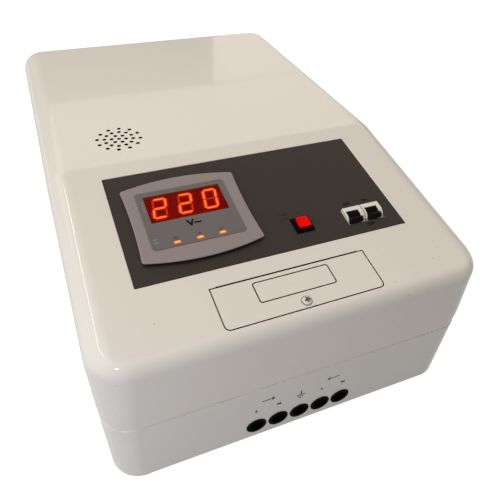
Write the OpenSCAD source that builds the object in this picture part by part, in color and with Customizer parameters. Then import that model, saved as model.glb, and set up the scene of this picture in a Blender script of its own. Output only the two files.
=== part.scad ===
// Wall-mounted relay voltage stabilizer, lying on its back.
// +Z points out of the front face, -Y is the cable end, the back rests on z = 0.

/* [Casing] */
// Width of the casing, side to side
body_w = 340; // [334:1:360]
// Length of the casing, cable end to far end
body_l = 519; // [512:1:560]
// Height from the back to the flat front face
body_h = 187; // [182:1:200]
// Plan length of the sloped lower face
slope_l = 204; // [201:1:215]
// Tilt of the sloped lower face, in degrees
slope_deg = 9.45; // [8:0.05:10.5]
// Height of the seam between tray and cover
seam_z = 79; // [72:1:90]
// Radius of the upright corners
corner_r = 26; // [23:0.5:30]
// Radius of the cover's front edges
edge_r = 20; // [16:0.5:22]
// Radius of the front edge at the cable end
near_edge_r = 11; // [8:0.5:11]
// Thickness of the moulded walls
wall = 3; // [2.6:0.1:3.4]
// Radius of the tray's back edge
back_edge_r = 3; // [2:0.5:4]

/* [Control panel] */
// Width of the dark panel plate
panel_w = 243.2; // [238:0.2:250]
// Height of the dark panel plate along the slope
panel_h = 122.5; // [118:0.5:126]
// Sideways offset of the panel from the middle
panel_x = -1.1; // [-4:0.1:4]
// Distance from the crease to the panel
panel_gap = 19.4; // [17:0.1:22]
// Depth of the seat that the panel lies in
panel_seat = 1.2; // [1:0.1:1.4]
// Thickness of the panel plate
panel_t = 0.8; // [0.6:0.1:0.9]

/* [Display] */
// Width of the display bezel over its corners
bezel_w = 102.8; // [99:0.2:104]
// Height of the display bezel over its corners
bezel_h = 81; // [80:0.2:84]
// Bow of the bezel's upper and lower edges
bezel_bow = 6.6; // [3:0.1:7]
// Draw-in of the bezel's sides
bezel_waist = 1.7; // [1:0.1:2.4]
// Height of the bezel above the panel
bezel_proud = 4.9; // [4:0.1:6]
// Width of the red window
window_w = 68.3; // [66:0.1:70]
// Height of the red window
window_h = 31.2; // [30:0.1:32]
// Height of one digit
digit_h = 23.4; // [20:0.1:24]
// Slant of the digits, in degrees
digit_slant = 9; // [5:0.5:11]

/* [Switches] */
// Width of one breaker module
breaker_w = 18; // [17.5:0.1:18.2]
// Swing of a breaker toggle, in degrees
toggle_swing = 50; // [44:1:54]
// Side of the push button's black frame
switch_flange = 17; // [16:0.1:18]
// Side of the red cap
cap_side = 11; // [10:0.1:11.4]
// Height of the red cap above the panel
cap_proud = 4.9; // [4.5:0.1:5.5]
// Travel of the red cap
cap_travel = 3; // [2:0.1:3.2]

/* [Terminals] */
// Width of the terminal hatch
hatch_w = 135; // [130:0.5:140]
// Height of the terminal hatch along the slope
hatch_h = 37.9; // [36:0.1:40]
// Sideways offset of the hatch from the middle
hatch_x = -2.4; // [-5:0.1:3]
// Pitch of the cable entries and of the terminals
entry_pitch = 21.6; // [21:0.1:22.5]
// Height of the cable entries above the back
entry_z = 20.3; // [19:0.1:22]
// Outer radius of a cable grommet
grommet_r = 9.65; // [9.2:0.05:10]
// Bore radius of a cable grommet
grommet_bore_r = 6.5; // [5.5:0.1:7]

/* [Front vent] */
// Radius of one vent hole
vent_r = 1.8; // [1.4:0.1:2.2]
// Spacing of the rings of vent holes
vent_pitch = 6.9; // [6:0.1:7.5]
// Turn of the vent pattern, in degrees
vent_turn = -11; // [-15:1:15]

/* [Transformer] */
// Outer radius of the wound toroid
toroid_r = 108; // [95:1:112]
// Radius of the toroid's inner hole
toroid_hole_r = 34; // [28:1:38]
// Height of the wound toroid
toroid_h = 92; // [70:1:100]

/* [Hidden] */

// One overrun for every cut, and the clearances
over = 1;
fit = 0.2;
run = 0.05;

// Smoothness of plain rounds, and of the rounds inside hulls
round_fn = 64;
hull_fn = 32;

// The grommets stand a little proud, and the whole part is centred over the origin
grommet_proud = 0.8;
near_y = -body_l / 2 + grommet_proud / 2;
far_y = near_y + body_l;
crease_y = near_y + slope_l;
slope_run = slope_l / cos(slope_deg);
half_w = body_w / 2;

// Distance down the slope of a plan position y that lies deep below the sloped face
function s_at(y, deep = 0) = (crease_y + deep * sin(slope_deg) - y) / cos(slope_deg);
// Plan position of a place on the slope
function y_at(s, deep = 0) = crease_y - s * cos(slope_deg) + deep * sin(slope_deg);
// Height of a place on the slope
function z_at(s, deep = 0) = body_h - s * sin(slope_deg) - deep * cos(slope_deg);

// Seam: shadow groove on the cover, rounded rim and tongue on the tray
seam_groove = 1.1;
seam_groove_h = 1.2;
rim_r = 1.4;
tongue_h = 5;
skirt_t = wall / 2;

// Case posts, where the tray's screws reach up into the cover
post_r = 6.5;
boss_r = 4.6;
post_inset = 18;
post_web = 5;
case_screw_r = 2;
case_screw_head_r = 3.9;
case_screw_head_h = 2.6;
case_screw_l = 18;
post_x = half_w - post_inset;
mid_post_up = 14;
mid_post_in = 11;
post_drop = wall;
rib_t = 1.8;
rib_h = 5;
roof_rib_pitch = 62;
roof_rib_n = 4;
roof_rib_end = 30;
floor_rib_h = 2.5;
floor_rib_pitch = 44;
floor_rib_n = 4;
mid_post_drop = 6.5;
post_places = [for (sx = [-1, 1]) each
               [[sx * post_x, near_y + post_inset, post_drop, 1],
                [sx * post_x, far_y - post_inset, post_drop, 1],
                [sx * (half_w - mid_post_in), crease_y + mid_post_up, mid_post_drop, 0]]];

// Side and end louvres of the tray
louvre_w = 3;
louvre_h = 34;
louvre_pitch = 9;
louvre_n = 14;
end_louvre_n = 16;
louvre_z = 22;

// Panel places, measured down the slope from the crease and sideways from the middle
panel_mid_s = panel_gap + panel_h / 2;
panel_top = -(panel_seat - panel_t);
panel_clear = 0.4;

// Display
bezel_side = 61.5;
bezel_x = panel_x - panel_w / 2 + bezel_side;
bezel_drop = 2.9;
bezel_s = panel_mid_s + bezel_drop;
bezel_taper = 1.1;
bezel_skirt = 3;
bezel_lip = 1.1;
foot_in = 4.2;
face_w = 79.8;
face_h = 64.6;
face_t = 0.4;
face_up = 1.3;
face_s = bezel_s - face_up;
face_r = 3;
bezel_recess = 1.2;
window_up = 13.8;
window_s = bezel_s - window_up;
window_t = 2;
box_wall = 2;
box_w = face_w + box_wall;
box_h = face_h + box_wall;
box_deep = 12;
digit_pitch = 22.6;
digit_w_share = 0.5;
digit_w = digit_h * digit_w_share;
segment_t = 2.5;
segment_gap = 0.35;
segment_h = 0.4;
module_deep = 7;
lamp_pitch = 19.3;
lamp_drop = 26.6;
lamp_s = bezel_s + lamp_drop;
lamp_w = 5;
lamp_h = 2.2;
board_t = 1.6;

// Push button
switch_side_gap = 92.1;
switch_x = panel_x + panel_w / 2 - switch_side_gap;
switch_up = 23.4;
switch_s = panel_gap + panel_h - switch_up;
switch_flange_t = 1.6;
switch_corner = 1;
collar_side = 14.6;
collar_h = 2.9;
switch_side = 14;
switch_deep = 21;
pin_w = 2.4;
pin_t = 0.8;
pin_l = 7;
pin_pitch = 5;
cap_h = 12;
cap_corner = 0.6;
cap_dip = 0.25;
dish_ball = 60;
cap_foot = panel_top + cap_proud - cap_h;

// Breakers
breaker_gap = 1;
breakers_side = 32.4;
breakers_x = panel_x + panel_w / 2 - breakers_side;
breaker_up = 21.8;
breaker_s = panel_gap + panel_h - breaker_up;
nose_l = 45;
nose_top = wall + fit;
nose_deep = 20;
breaker_l = 78;
breaker_deep = 63;
breaker_corner = 1.5;
hinge_deep = 4.4;
cheek_r = 7.5;
hump_drop = 0.1;
drum_r = 6.9;
drum_w = 12.2;
trunnion_r = 1.5;
trunnion_l = 1.6;
lever_r = 11.2;
lever_foot = 3;
lever_in = 0.15;
lever_t = 5.4;
lever_tip_t = 5;
lever_tip_r = 0.8;
toggle_low = 52;
hump_back = 7;
slot_up = lever_t / 2 * cos(toggle_low - toggle_swing)
          - cheek_r * sin(toggle_low - toggle_swing) + fit;
breaker_win_near = 9.9;
breaker_win_h = breaker_win_near + hump_back + fit;
breaker_win_s = breaker_s + (breaker_win_near - hump_back - fit) / 2;
breaker_win_w = 2 * breaker_w + breaker_gap + 2 * fit;
rail_w = 35;
rail_deep = 7.5;
rail_t = 1;
rail_brim = 5;
rail_lap = 3;
bracket_t = 1.5;
bracket_w = 30;
bracket_flange = 14;
bracket_side = 2.5;
bracket_boss_r = 4.5;
bracket_boss_l = 6;
bracket_screw_r = 1.5;
bracket_screw_l = 6;
bracket_screw_head_r = 2.8;
bracket_screw_head_h = 2;
bracket_half = breaker_w + breaker_gap / 2 + bracket_side;
rail_l = 2 * bracket_half - fit;

// Terminal hatch
hatch_edge = 9.4;
hatch_s = slope_run - hatch_edge - hatch_h / 2;
hatch_t = 2.2;
hatch_seat = 0.1;
hatch_gap = 0.6;
hatch_top_gap = 1.5;
hatch_top_end = 5;
hatch_r = 4;
hatch_ledge = 2.5;
hatch_frame_h = 3.5;
bulge_r = 12;
bulge = 1.3;
hatch_screw_up = 6;
hatch_screw_r = 2;
hatch_screw_head_r = 4.1;
hatch_screw_head_h = 2;
hatch_screw_l = 11;
hatch_lug_r = 5.5;
hatch_lug_h = 9;
slot_w = 1.1;
slot_l_share = 0.62;

// Terminals
poles = 5;
block_h = 36;
block_l = 31;
block_barrier = 2.4;
barrier_h = 6;
block_foot = 12;
block_foot_h = 6;
block_y = y_at(hatch_s, 0);
block_w = poles * entry_pitch + block_barrier;
clamp_w = 14;
clamp_h = 16;
clamp_l = 24;
clamp_hole_r = 5.4;
terminal_screw_r = 3;
terminal_screw_head_r = 4.2;
terminal_screw_head_h = 3.4;
driver_hole_r = 4.6;
block_screw_r = 2;
block_screw_head_r = 3.8;
block_screw_head_h = 2.4;
block_screw_l = 9;
block_boss_r = 4.4;
block_boss_h = 7;

// Grommets
grommet_neck = 1.4;
grommet_lip = 1.5;
grommet_soft = grommet_proud / 2;

// Front vent, a centre hole and rings of six, twelve and twelve
vent_side = 74.7;
vent_x = vent_side - half_w;
vent_up = 43;
vent_y = crease_y + vent_up;
vent_rings = [[1, 6], [2, 12], [3, 12]];
vent_skin = 1;
vent_margin = 4;
vent_field_r = len(vent_rings) * vent_pitch + vent_margin;

// Mounting plate of folded steel
plate_t = 2;
plate_side = 39;
plate_w = body_w - 2 * plate_side;
plate_near = 62;
plate_far = 8;
plate_y0 = near_y + plate_near;
plate_y1 = far_y - plate_far;
plate_flange = 9;
plate_corner = 6;
key_side = 15;
key_x = plate_w / 2 - key_side;
key_inset = 34;
key_head_r = 5.5;
key_slot_r = 3;
key_slot_l = 12;
key_window = 2.5;
plate_screw_r = 2;
plate_screw_head_r = 4;
plate_screw_head_h = 2.2;
plate_screw_l = 6.5;
plate_boss_r = 5;
plate_boss_h = 4;
plate_screw_side = 13;
plate_screw_x = plate_w / 2 - plate_screw_side;
plate_screw_end = 12;
plate_screw_far = 62;
plate_screw_ys = [plate_y0 + plate_screw_end, (plate_y0 + plate_y1) / 2,
                  plate_y1 - plate_screw_far];
plate_z = wall + plate_boss_h;

// Transformer
toroid_gap = 12;
toroid_y = far_y - wall - toroid_gap - toroid_r;
toroid_soft = 14;
winding_t = 13;
pad_t = 3;
pad_r_share = 0.86;
pad_hole_more = 2;
dish_lap = 26;
dish_r = toroid_hole_r + dish_lap;
dish_t = 2.5;
dish_dip = 5;
dish_land = 12;
bolt_r = 5;
bolt_head_r = 9;
nut_r = 9.2;
nut_h = 8;
bolt_spare = 4;

// Relay board and what stands on it
board_w = 204;
board_l = 132;
board_end_gap = 4;
board_y = plate_y0 + board_end_gap + board_l / 2;
standoff_h = 10;
standoff_r = 4;
standoff_screw_r = 1.5;
standoff_head_r = 2.8;
standoff_head_h = 2;
board_inset = 6;
board_z = plate_z + plate_t + standoff_h;
relay_n = 6;
relay_w = 27.5;
relay_l = 32;
relay_h = 26;
relay_pitch = 31.5;
relay_up = 38;
relay_y = board_y + relay_up;
relay_r = 1;
cap_rs = [11, 11, 8, 6.5];
cap_hs = [30, 30, 22, 16];
cap_xs = [-78, -52, -30, -12];
cap_down = 40;
cap_y = board_y - cap_down;
cap_groove = 0.6;
supply_w = 42;
supply_l = 36;
supply_h = 34;
supply_x = 62;
supply_down = 36;
supply_y = board_y - supply_down;
supply_bobbin = 6;
sensor_r = 15;
sensor_hole_r = 6;
sensor_h = 14;
sensor_x = 18;
chip_w = 26;
chip_l = 9;
chip_h = 3.4;
chip_x = -64;
chip_down = 8;
chip_y = board_y - chip_down;
chip_legs = 14;
chip_leg_w = 0.6;

// Frame of the sloped face: x sideways, y up the slope, z out of the face
module on_slope(x, s, lift = 0) {
    translate([0, crease_y, body_h]) rotate([slope_deg, 0, 0]) translate([x, -s, lift]) children();
}

// Plan outline with round corners, drawn in by some amount
module plan(in) {
    for (sx = [-1, 1], y = [near_y + corner_r, far_y - corner_r])
        translate([sx * (half_w - corner_r), y]) circle(r = corner_r - in, $fn = round_fn);
    translate([-half_w + in, near_y + corner_r]) square([body_w - 2 * in, body_l - 2 * corner_r]);
    translate([-half_w + corner_r, near_y + in]) square([body_w - 2 * corner_r, body_l - 2 * in]);
}

// Rectangle with round corners about its middle
module soft_rect(w, l, r) {
    for (sx = [-1, 1], sy = [-1, 1])
        translate([sx * (w / 2 - r), sy * (l / 2 - r)]) circle(r = r, $fn = round_fn);
    square([w, l - 2 * r], center = true);
    square([w - 2 * r, l], center = true);
}

// Slot with round ends along Y, from one end's centre to the other
module slot(r, l) {
    circle(r = r, $fn = round_fn);
    translate([0, l]) circle(r = r, $fn = round_fn);
    translate([-r, 0]) square([2 * r, l]);
}

// Pan-head screw that points down from z = 0, with its head above
module pan_screw(r, l, head_r, head_h) {
    difference() {
        union() {
            translate([0, 0, -l]) cylinder(r = r, h = l, $fn = round_fn);
            rotate_extrude($fn = round_fn) intersection() {
                square([head_r, head_h]);
                translate([0, head_h - dome_r(head_r, head_h)])
                    circle(r = dome_r(head_r, head_h), $fn = round_fn);
            }
        }
        for (a = [0, 90]) rotate(a) translate([0, 0, head_h])
            cube([head_r * slot_l_share * 2, head_r * slot_w_share, head_h], center = true);
    }
}
slot_w_share = 0.26;
function dome_r(r, h) = (r * r + h * h) / (2 * h);

// Outer form of the cover, drawn in by some amount all round
module cover_form(in, low) {
    hull() for (sx = [-1, 1]) {
        for (y = [near_y + corner_r, far_y - corner_r])
            translate([sx * (half_w - corner_r), y, low])
                cylinder(r = corner_r - in, h = z_at(slope_run) - edge_r - low, $fn = hull_fn);
        translate([sx * (half_w - corner_r), far_y - corner_r, body_h - edge_r])
            edge_ring(in);
        translate([sx * (half_w - edge_r), crease_y + edge_r * tan(slope_deg / 2), body_h - edge_r])
            sphere(r = edge_r - in, $fn = hull_fn);
        on_slope(sx * (half_w - corner_r), s_at(near_y + corner_r, edge_r), -edge_r)
            edge_ring(in);
        on_slope(sx * (half_w - corner_r - near_edge_r), s_at(near_y + near_edge_r, near_edge_r),
                 -near_edge_r)
            sphere(r = near_edge_r - in, $fn = hull_fn);
    }
}

// Ring that rounds a corner of the cover
module edge_ring(in) {
    rotate_extrude($fn = hull_fn) translate([corner_r - edge_r, 0]) intersection() {
        circle(r = edge_r - in, $fn = hull_fn);
        translate([edge_r - corner_r, -edge_r]) square([corner_r, 2 * edge_r]);
    }
}

// Rear shell: floor, walls, cable entries, posts, louvres and keyhole windows
module base_tray() {
    color("ivory") difference() {
        union() {
            tray_shell();
            for (p = post_places) translate([p[0], p[1], 0])
                cylinder(r = post_r, h = seam_z, $fn = round_fn);
            tray_ribs();
            for (sx = [-1, 1], y = plate_screw_ys)
                translate([sx * plate_screw_x, y, 0])
                    cylinder(r = plate_boss_r, h = plate_z, $fn = round_fn);
            for (sx = [-1, 1])
                translate([sx * (block_w + block_foot) / 2, block_y, 0])
                    cylinder(r = block_boss_r, h = block_z, $fn = round_fn);
        }
        for (p = post_places) translate([p[0], p[1], 0]) {
            translate([0, 0, -over])
                cylinder(r = case_screw_head_r + fit, h = seam_z - post_web + over, $fn = round_fn);
            cylinder(r = case_screw_r + fit, h = seam_z + over, $fn = round_fn);
        }
        for (sx = [-1, 1], y = plate_screw_ys)
            translate([sx * plate_screw_x, y, plate_z - plate_screw_l])
                cylinder(r = plate_screw_r, h = plate_screw_l + over, $fn = round_fn);
        for (sx = [-1, 1])
            translate([sx * (block_w + block_foot) / 2, block_y, block_z - block_screw_l])
                cylinder(r = block_screw_r, h = block_screw_l + over, $fn = round_fn);
        for (i = [0 : poles - 1])
            translate([entry_x(i), near_y, entry_z]) rotate([90, 0, 0])
                cylinder(r = grommet_r - grommet_neck, h = 2 * wall + 2 * over, center = true,
                         $fn = round_fn);
        for (sx = [-1, 1], sy = [-1, 1]) key_place(sx, sy) translate([0, 0, -over])
            linear_extrude(wall + 2 * over) key_shape(key_window);
        side_louvres();
        end_louvres();
    }
}
block_z = wall + block_boss_h;
function entry_x(i) = (i - (poles - 1) / 2) * entry_pitch;

// Ribs along the floor under the mounting plate, and webs from the posts to the walls
module tray_ribs() {
    for (i = [0 : floor_rib_n - 1])
        translate([(i - (floor_rib_n - 1) / 2) * floor_rib_pitch - rib_t / 2, plate_y0, wall / 2])
            cube([rib_t, plate_y1 - plate_y0, floor_rib_h + wall / 2]);
    for (p = post_places) {
        post_web(p, half_w - abs(p[0]) - wall, 0);
        if (p[3] > 0) post_web(p, (p[1] < 0 ? p[1] - near_y : far_y - p[1]) - wall, 1);
    }
}

// Upright web from a post to the wall beside it, or to the end wall
module post_web(p, reach, endwise) {
    way = endwise > 0 ? [0, p[1] < 0 ? -1 : 1] : [p[0] < 0 ? -1 : 1, 0];
    web_h = seam_z - rib_h - wall / 2;
    translate([p[0] + way[0] * reach / 2, p[1] + way[1] * reach / 2, (web_h + wall) / 2])
        cube([endwise > 0 ? rib_t : reach, endwise > 0 ? reach : rib_t, web_h], center = true);
}

// Walls and floor of the tray, with the rounded back edge and the tongue
module tray_shell() {
    difference() {
        union() {
            translate([0, 0, back_edge_r]) linear_extrude(seam_z - rim_r - back_edge_r) plan(0);
            linear_extrude(seam_z) plan(rim_r);
            translate([0, 0, seam_z - rim_r]) edge_roll(rim_r, 1);
            translate([0, 0, back_edge_r]) edge_roll(back_edge_r, -1);
            translate([0, 0, seam_z - rim_r]) linear_extrude(tongue_h + rim_r) plan(skirt_t + fit);
        }
        translate([0, 0, wall]) linear_extrude(seam_z + tongue_h) plan(wall);
    }
}

// Round edge that runs along the plan outline, its inner side filled
module edge_roll(r, up) {
    for (sx = [-1, 1], y = [near_y + corner_r, far_y - corner_r])
        translate([sx * (half_w - corner_r), y, 0]) rotate_extrude($fn = round_fn)
            edge_roll_profile(r);
    for (sx = [-1, 1]) translate([sx * (half_w - r), (near_y + far_y) / 2, 0]) rotate([90, 0, 0])
        cylinder(r = r, h = body_l - 2 * corner_r, center = true, $fn = round_fn);
    for (y = [near_y + r, far_y - r]) translate([0, y, 0]) rotate([0, 90, 0])
        cylinder(r = r, h = body_w - 2 * corner_r, center = true, $fn = round_fn);
    translate([0, 0, up < 0 ? -r : 0]) linear_extrude(r) plan(r);
}

// Half of the roll's section at a corner
module edge_roll_profile(r) {
    translate([corner_r - r, 0]) circle(r = r, $fn = round_fn);
    translate([0, -r]) square([corner_r - r, 2 * r]);
}

// Place of a wall keyhole
module key_place(sx, sy) {
    translate([sx * key_x, sy < 0 ? plate_y0 + key_inset : plate_y1 - key_inset, 0]) children();
}

// Keyhole outline, widened by some amount, its slot towards the far end
module key_shape(wide) {
    circle(r = key_head_r + wide, $fn = round_fn);
    slot(key_slot_r + wide, key_slot_l);
}

// Rows of upright slots through the tray's long walls, beside the transformer
module side_louvres() {
    for (sx = [-1, 1], i = [0 : louvre_n - 1])
        translate([sx * half_w, toroid_y + (i - (louvre_n - 1) / 2) * louvre_pitch, louvre_z])
            rotate([90, 0, 90]) linear_extrude(2 * wall + 2 * over, center = true)
                slot(louvre_w / 2, louvre_h);
}

// Row of upright slots through the tray's far wall
module end_louvres() {
    for (i = [0 : end_louvre_n - 1])
        translate([(i - (end_louvre_n - 1) / 2) * louvre_pitch, far_y, louvre_z])
            rotate([90, 0, 0]) linear_extrude(2 * wall + 2 * over, center = true)
                slot(louvre_w / 2, louvre_h);
}

// Front shell with the sloped control face
module front_cover() {
    color("ivory") difference() {
        union() {
            difference() {
                cover_form(0, seam_z);
                cover_form(wall, seam_z - over);
                translate([0, 0, seam_z - over]) linear_extrude(tongue_h + fit + over)
                    plan(skirt_t);
            }
            cover_posts();
            cover_inside();
            roof_ribs();
        }
        translate([0, 0, seam_z - over]) linear_extrude(seam_groove_h + over) difference() {
            plan(-over);
            plan(seam_groove);
        }
        for (p = post_places) translate([p[0], p[1], seam_z - over])
            cylinder(r = case_screw_r, h = case_screw_l + over, $fn = round_fn);
        panel_cuts();
        hatch_cuts();
        vent_cuts();
    }
}

// Grid of stiffening ribs under the flat part of the roof
module roof_ribs() {
    y0 = vent_y + (len(vent_rings) + 1) * vent_pitch;
    y1 = far_y - roof_rib_end;
    reach = (roof_rib_n - 1) * roof_rib_pitch + rib_t;
    for (i = [0 : roof_rib_n - 1])
        translate([(i - (roof_rib_n - 1) / 2) * roof_rib_pitch - rib_t / 2, y0,
                   body_h - wall - rib_h])
            cube([rib_t, y1 - y0, rib_h + wall / 2]);
    for (i = [0 : roof_rib_n - 1])
        translate([-reach / 2, y0 + i * (y1 - y0 - rib_t) / (roof_rib_n - 1),
                   body_h - wall - rib_h])
            cube([reach, rib_t, rib_h + wall / 2]);
}

// Screw posts that hang from the roof down to the seam
module cover_posts() {
    for (p = post_places) translate([p[0], p[1], seam_z])
        cylinder(r = boss_r, h = roof_z(p[1]) - p[2] - seam_z, $fn = round_fn);
}
// Height of the cover's outer face over a plan position
function roof_z(y) = y > crease_y ? body_h : z_at(s_at(y));

// Bosses of the breaker bracket, hatch frame and its screw lug
module cover_inside() {
    for (sx = [-1, 1], sy = [-1, 1])
        on_slope(breakers_x + sx * bracket_hole_x, breaker_s + sy * bracket_hole_s,
                 -wall - bracket_boss_l)
            cylinder(r = bracket_boss_r, h = bracket_boss_l + wall / 2, $fn = round_fn);
    on_slope(hatch_x, hatch_s, -wall - hatch_frame_h)
        linear_extrude(hatch_frame_h + wall / 2)
            square([hatch_w + 2 * wall, hatch_h + wall], center = true);
    hatch_lug();
}

// Boss under the hatch that takes its screw
module hatch_lug() {
    on_slope(hatch_x, hatch_screw_s, -hatch_t - hatch_seat - hatch_lug_h)
        cylinder(r = hatch_lug_r, h = hatch_lug_h, $fn = round_fn);
}
bracket_hole_x = bracket_half + bracket_t + bracket_flange / 2;
bracket_hole_s = bracket_w / 2 - bracket_screw_head_r - fit - over;
hatch_screw_s = hatch_s + hatch_h / 2 - hatch_screw_up;

// Seat of the control panel and what passes through it
module panel_cuts() {
    on_slope(panel_x, panel_mid_s, -panel_seat) linear_extrude(panel_seat + over)
        square([panel_w + 2 * panel_clear, panel_h + 2 * panel_clear], center = true);
    on_slope(bezel_x, face_s, -wall - over) linear_extrude(wall + 2 * over)
        square([box_w + 2 * box_wall, box_h + 2 * box_wall], center = true);
    on_slope(switch_x, switch_s, -wall - over) linear_extrude(wall + 2 * over)
        square(switch_side + 2 * fit, center = true);
    on_slope(breakers_x, breaker_win_s, -wall - over) linear_extrude(wall + 2 * over)
        square([breaker_win_w, breaker_win_h], center = true);
    for (sx = [-1, 1], sy = [-1, 1])
        on_slope(breakers_x + sx * bracket_hole_x, breaker_s + sy * bracket_hole_s,
                 -wall - bracket_boss_l - over)
            cylinder(r = bracket_screw_r, h = bracket_screw_l + over, $fn = round_fn);
}

// Outline of the hatch with its bulge at the screw, grown by some amount
module hatch_outline(grow) {
    square([hatch_w + 2 * grow, hatch_h - 2 * hatch_r], center = true);
    translate([0, hatch_r / 2]) square([hatch_w + 2 * grow, hatch_h - hatch_r + 2 * grow],
                                      center = true);
    translate([0, -hatch_r / 2]) square([hatch_w - 2 * hatch_r, hatch_h - hatch_r + 2 * grow],
                                       center = true);
    for (sx = [-1, 1]) translate([sx * (hatch_w / 2 - hatch_r), -hatch_h / 2 + hatch_r])
        circle(r = hatch_r + grow, $fn = round_fn);
    translate([0, -hatch_h / 2 + bulge_r - bulge]) circle(r = bulge_r + grow, $fn = round_fn);
}

// Seat, opening and screw hole of the hatch
module hatch_cuts() {
    on_slope(hatch_x, hatch_s, -hatch_t - hatch_seat) linear_extrude(hatch_t + hatch_seat + over) {
        hatch_outline(hatch_gap);
        translate([0, hatch_h / 2]) square([hatch_w - 2 * hatch_top_end, 2 * hatch_top_gap],
                                           center = true);
    }
    difference() {
        on_slope(hatch_x, hatch_s, -wall - hatch_frame_h - over)
            linear_extrude(wall + hatch_frame_h + 2 * over)
                square([hatch_w - 2 * hatch_ledge, hatch_h - 2 * hatch_ledge], center = true);
        hatch_lug();
    }
    on_slope(hatch_x, hatch_screw_s, -hatch_t - hatch_seat - hatch_lug_h - over)
        cylinder(r = hatch_screw_r + run, h = hatch_lug_h + 2 * over, $fn = round_fn);
}

// Thirty-one round holes in the flat face, thinned from inside around them
module vent_cuts() {
    translate([vent_x, vent_y, body_h - wall - over]) {
        cylinder(r = vent_field_r, h = over + wall - vent_skin, $fn = round_fn);
        cylinder(r = vent_r, h = wall + 2 * over, $fn = round_fn);
        for (ring = vent_rings, i = [0 : ring[1] - 1]) rotate(vent_turn + i * 360 / ring[1])
            translate([ring[0] * vent_pitch, 0, 0])
                cylinder(r = vent_r, h = wall + 2 * over, $fn = round_fn);
    }
}

// Dark plate with its openings
module control_panel() {
    color("dimgray") difference() {
        on_slope(panel_x, panel_mid_s, -panel_seat) linear_extrude(panel_t)
            square([panel_w, panel_h], center = true);
        on_slope(bezel_x, face_s, -wall) linear_extrude(2 * wall)
            square([box_w + 2 * box_wall, box_h + 2 * box_wall], center = true);
        on_slope(switch_x, switch_s, -wall) linear_extrude(2 * wall)
            square(switch_side + 2 * fit, center = true);
        on_slope(breakers_x, breaker_win_s, -wall) linear_extrude(2 * wall)
            square([breaker_win_w, breaker_win_h], center = true);
    }
}

// Cover plate over the terminals
module terminal_hatch() {
    color("ivory") difference() {
        on_slope(hatch_x, hatch_s, -hatch_t) linear_extrude(hatch_t) hatch_outline(0);
        on_slope(hatch_x, hatch_screw_s, -hatch_t - over)
            cylinder(r = hatch_screw_r, h = hatch_t + 2 * over, $fn = round_fn);
    }
}

// Screw that holds the hatch down
module hatch_screw() {
    color("silver") on_slope(hatch_x, hatch_screw_s)
        pan_screw(hatch_screw_r, hatch_screw_l, hatch_screw_head_r, hatch_screw_head_h);
}

// Bezel outline: bowed above and below, drawn in at the sides
module bezel_outline() {
    bow_r = (bezel_w * bezel_w / 4 + bezel_bow * bezel_bow) / (2 * bezel_bow);
    waist_r = (bezel_h * bezel_h / 4 + bezel_waist * bezel_waist) / (2 * bezel_waist);
    difference() {
        intersection() {
            translate([0, bezel_h / 2 + bezel_bow - bow_r]) circle(r = bow_r, $fn = bow_fn);
            translate([0, -bezel_h / 2 - bezel_bow + bow_r]) circle(r = bow_r, $fn = bow_fn);
            square([bezel_w, bezel_h + 2 * bezel_bow], center = true);
        }
        for (sx = [-1, 1]) translate([sx * (bezel_w / 2 - bezel_waist + waist_r), 0])
            circle(r = waist_r, $fn = bow_fn);
    }
}
bow_fn = 240;

// Raised grey frame with a box behind it that holds the display
module display_bezel() {
    taper_x = 1 - 2 * bezel_taper / bezel_w;
    taper_y = 1 - 2 * bezel_taper / bezel_h;
    color("rosybrown") difference() {
        union() {
            on_slope(bezel_x, bezel_s, panel_top) linear_extrude(bezel_skirt)
                scale([1 - 2 * foot_in / bezel_w, 1 - 2 * foot_in / bezel_h]) bezel_outline();
            on_slope(bezel_x, bezel_s, panel_top + bezel_skirt) linear_extrude(bezel_lip)
                bezel_outline();
            on_slope(bezel_x, bezel_s, panel_top + bezel_skirt + bezel_lip)
                linear_extrude(bezel_proud - bezel_skirt - bezel_lip, scale = [taper_x, taper_y])
                    bezel_outline();
            on_slope(bezel_x, face_s, -box_deep) linear_extrude(box_deep + panel_top + over)
                square([box_w + box_wall, box_h + box_wall], center = true);
        }
        on_slope(bezel_x, face_s, bezel_top - bezel_recess) linear_extrude(bezel_recess + over)
            soft_rect(face_w, face_h, face_r);
        on_slope(bezel_x, face_s, -box_deep - over)
            linear_extrude(box_deep + over + bezel_top - bezel_recess - window_t)
                square([box_w - box_wall, box_h - box_wall], center = true);
        on_slope(bezel_x, window_s, -over) linear_extrude(bezel_top + over)
            square([window_w, window_h], center = true);
        for (i = [-1, 0, 1]) on_slope(bezel_x + i * lamp_pitch, lamp_s, -over)
            linear_extrude(bezel_top + over) square([lamp_w, lamp_h], center = true);
        on_slope(bezel_x, bezel_s + bezel_h / 2 + bezel_bow, panel_top + bezel_skirt - over)
            linear_extrude(notch_h + over) square([notch_w, 2 * notch_deep], center = true);
    }
}
notch_w = 4;
notch_deep = 1.2;
notch_h = 0.8;
bezel_top = panel_top + bezel_proud;
face_z = bezel_top - bezel_recess;

// Dark grey overlay in the bezel's recess
module display_face() {
    color("gray") difference() {
        on_slope(bezel_x, face_s, face_z) linear_extrude(face_t)
            soft_rect(face_w - 2 * panel_clear, face_h - 2 * panel_clear, face_r);
        on_slope(bezel_x, window_s, face_z - over) linear_extrude(face_t + 2 * over)
            square([window_w, window_h], center = true);
        for (i = [-1, 0, 1]) on_slope(bezel_x + i * lamp_pitch, lamp_s, face_z - over)
            linear_extrude(face_t + 2 * over) square([lamp_w, lamp_h], center = true);
    }
}

// Red filter over the digits
module display_window() {
    color("darkred") on_slope(bezel_x, window_s, face_z + face_t - window_t)
        linear_extrude(window_t) square([window_w - fit, window_h - fit], center = true);
}

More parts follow.
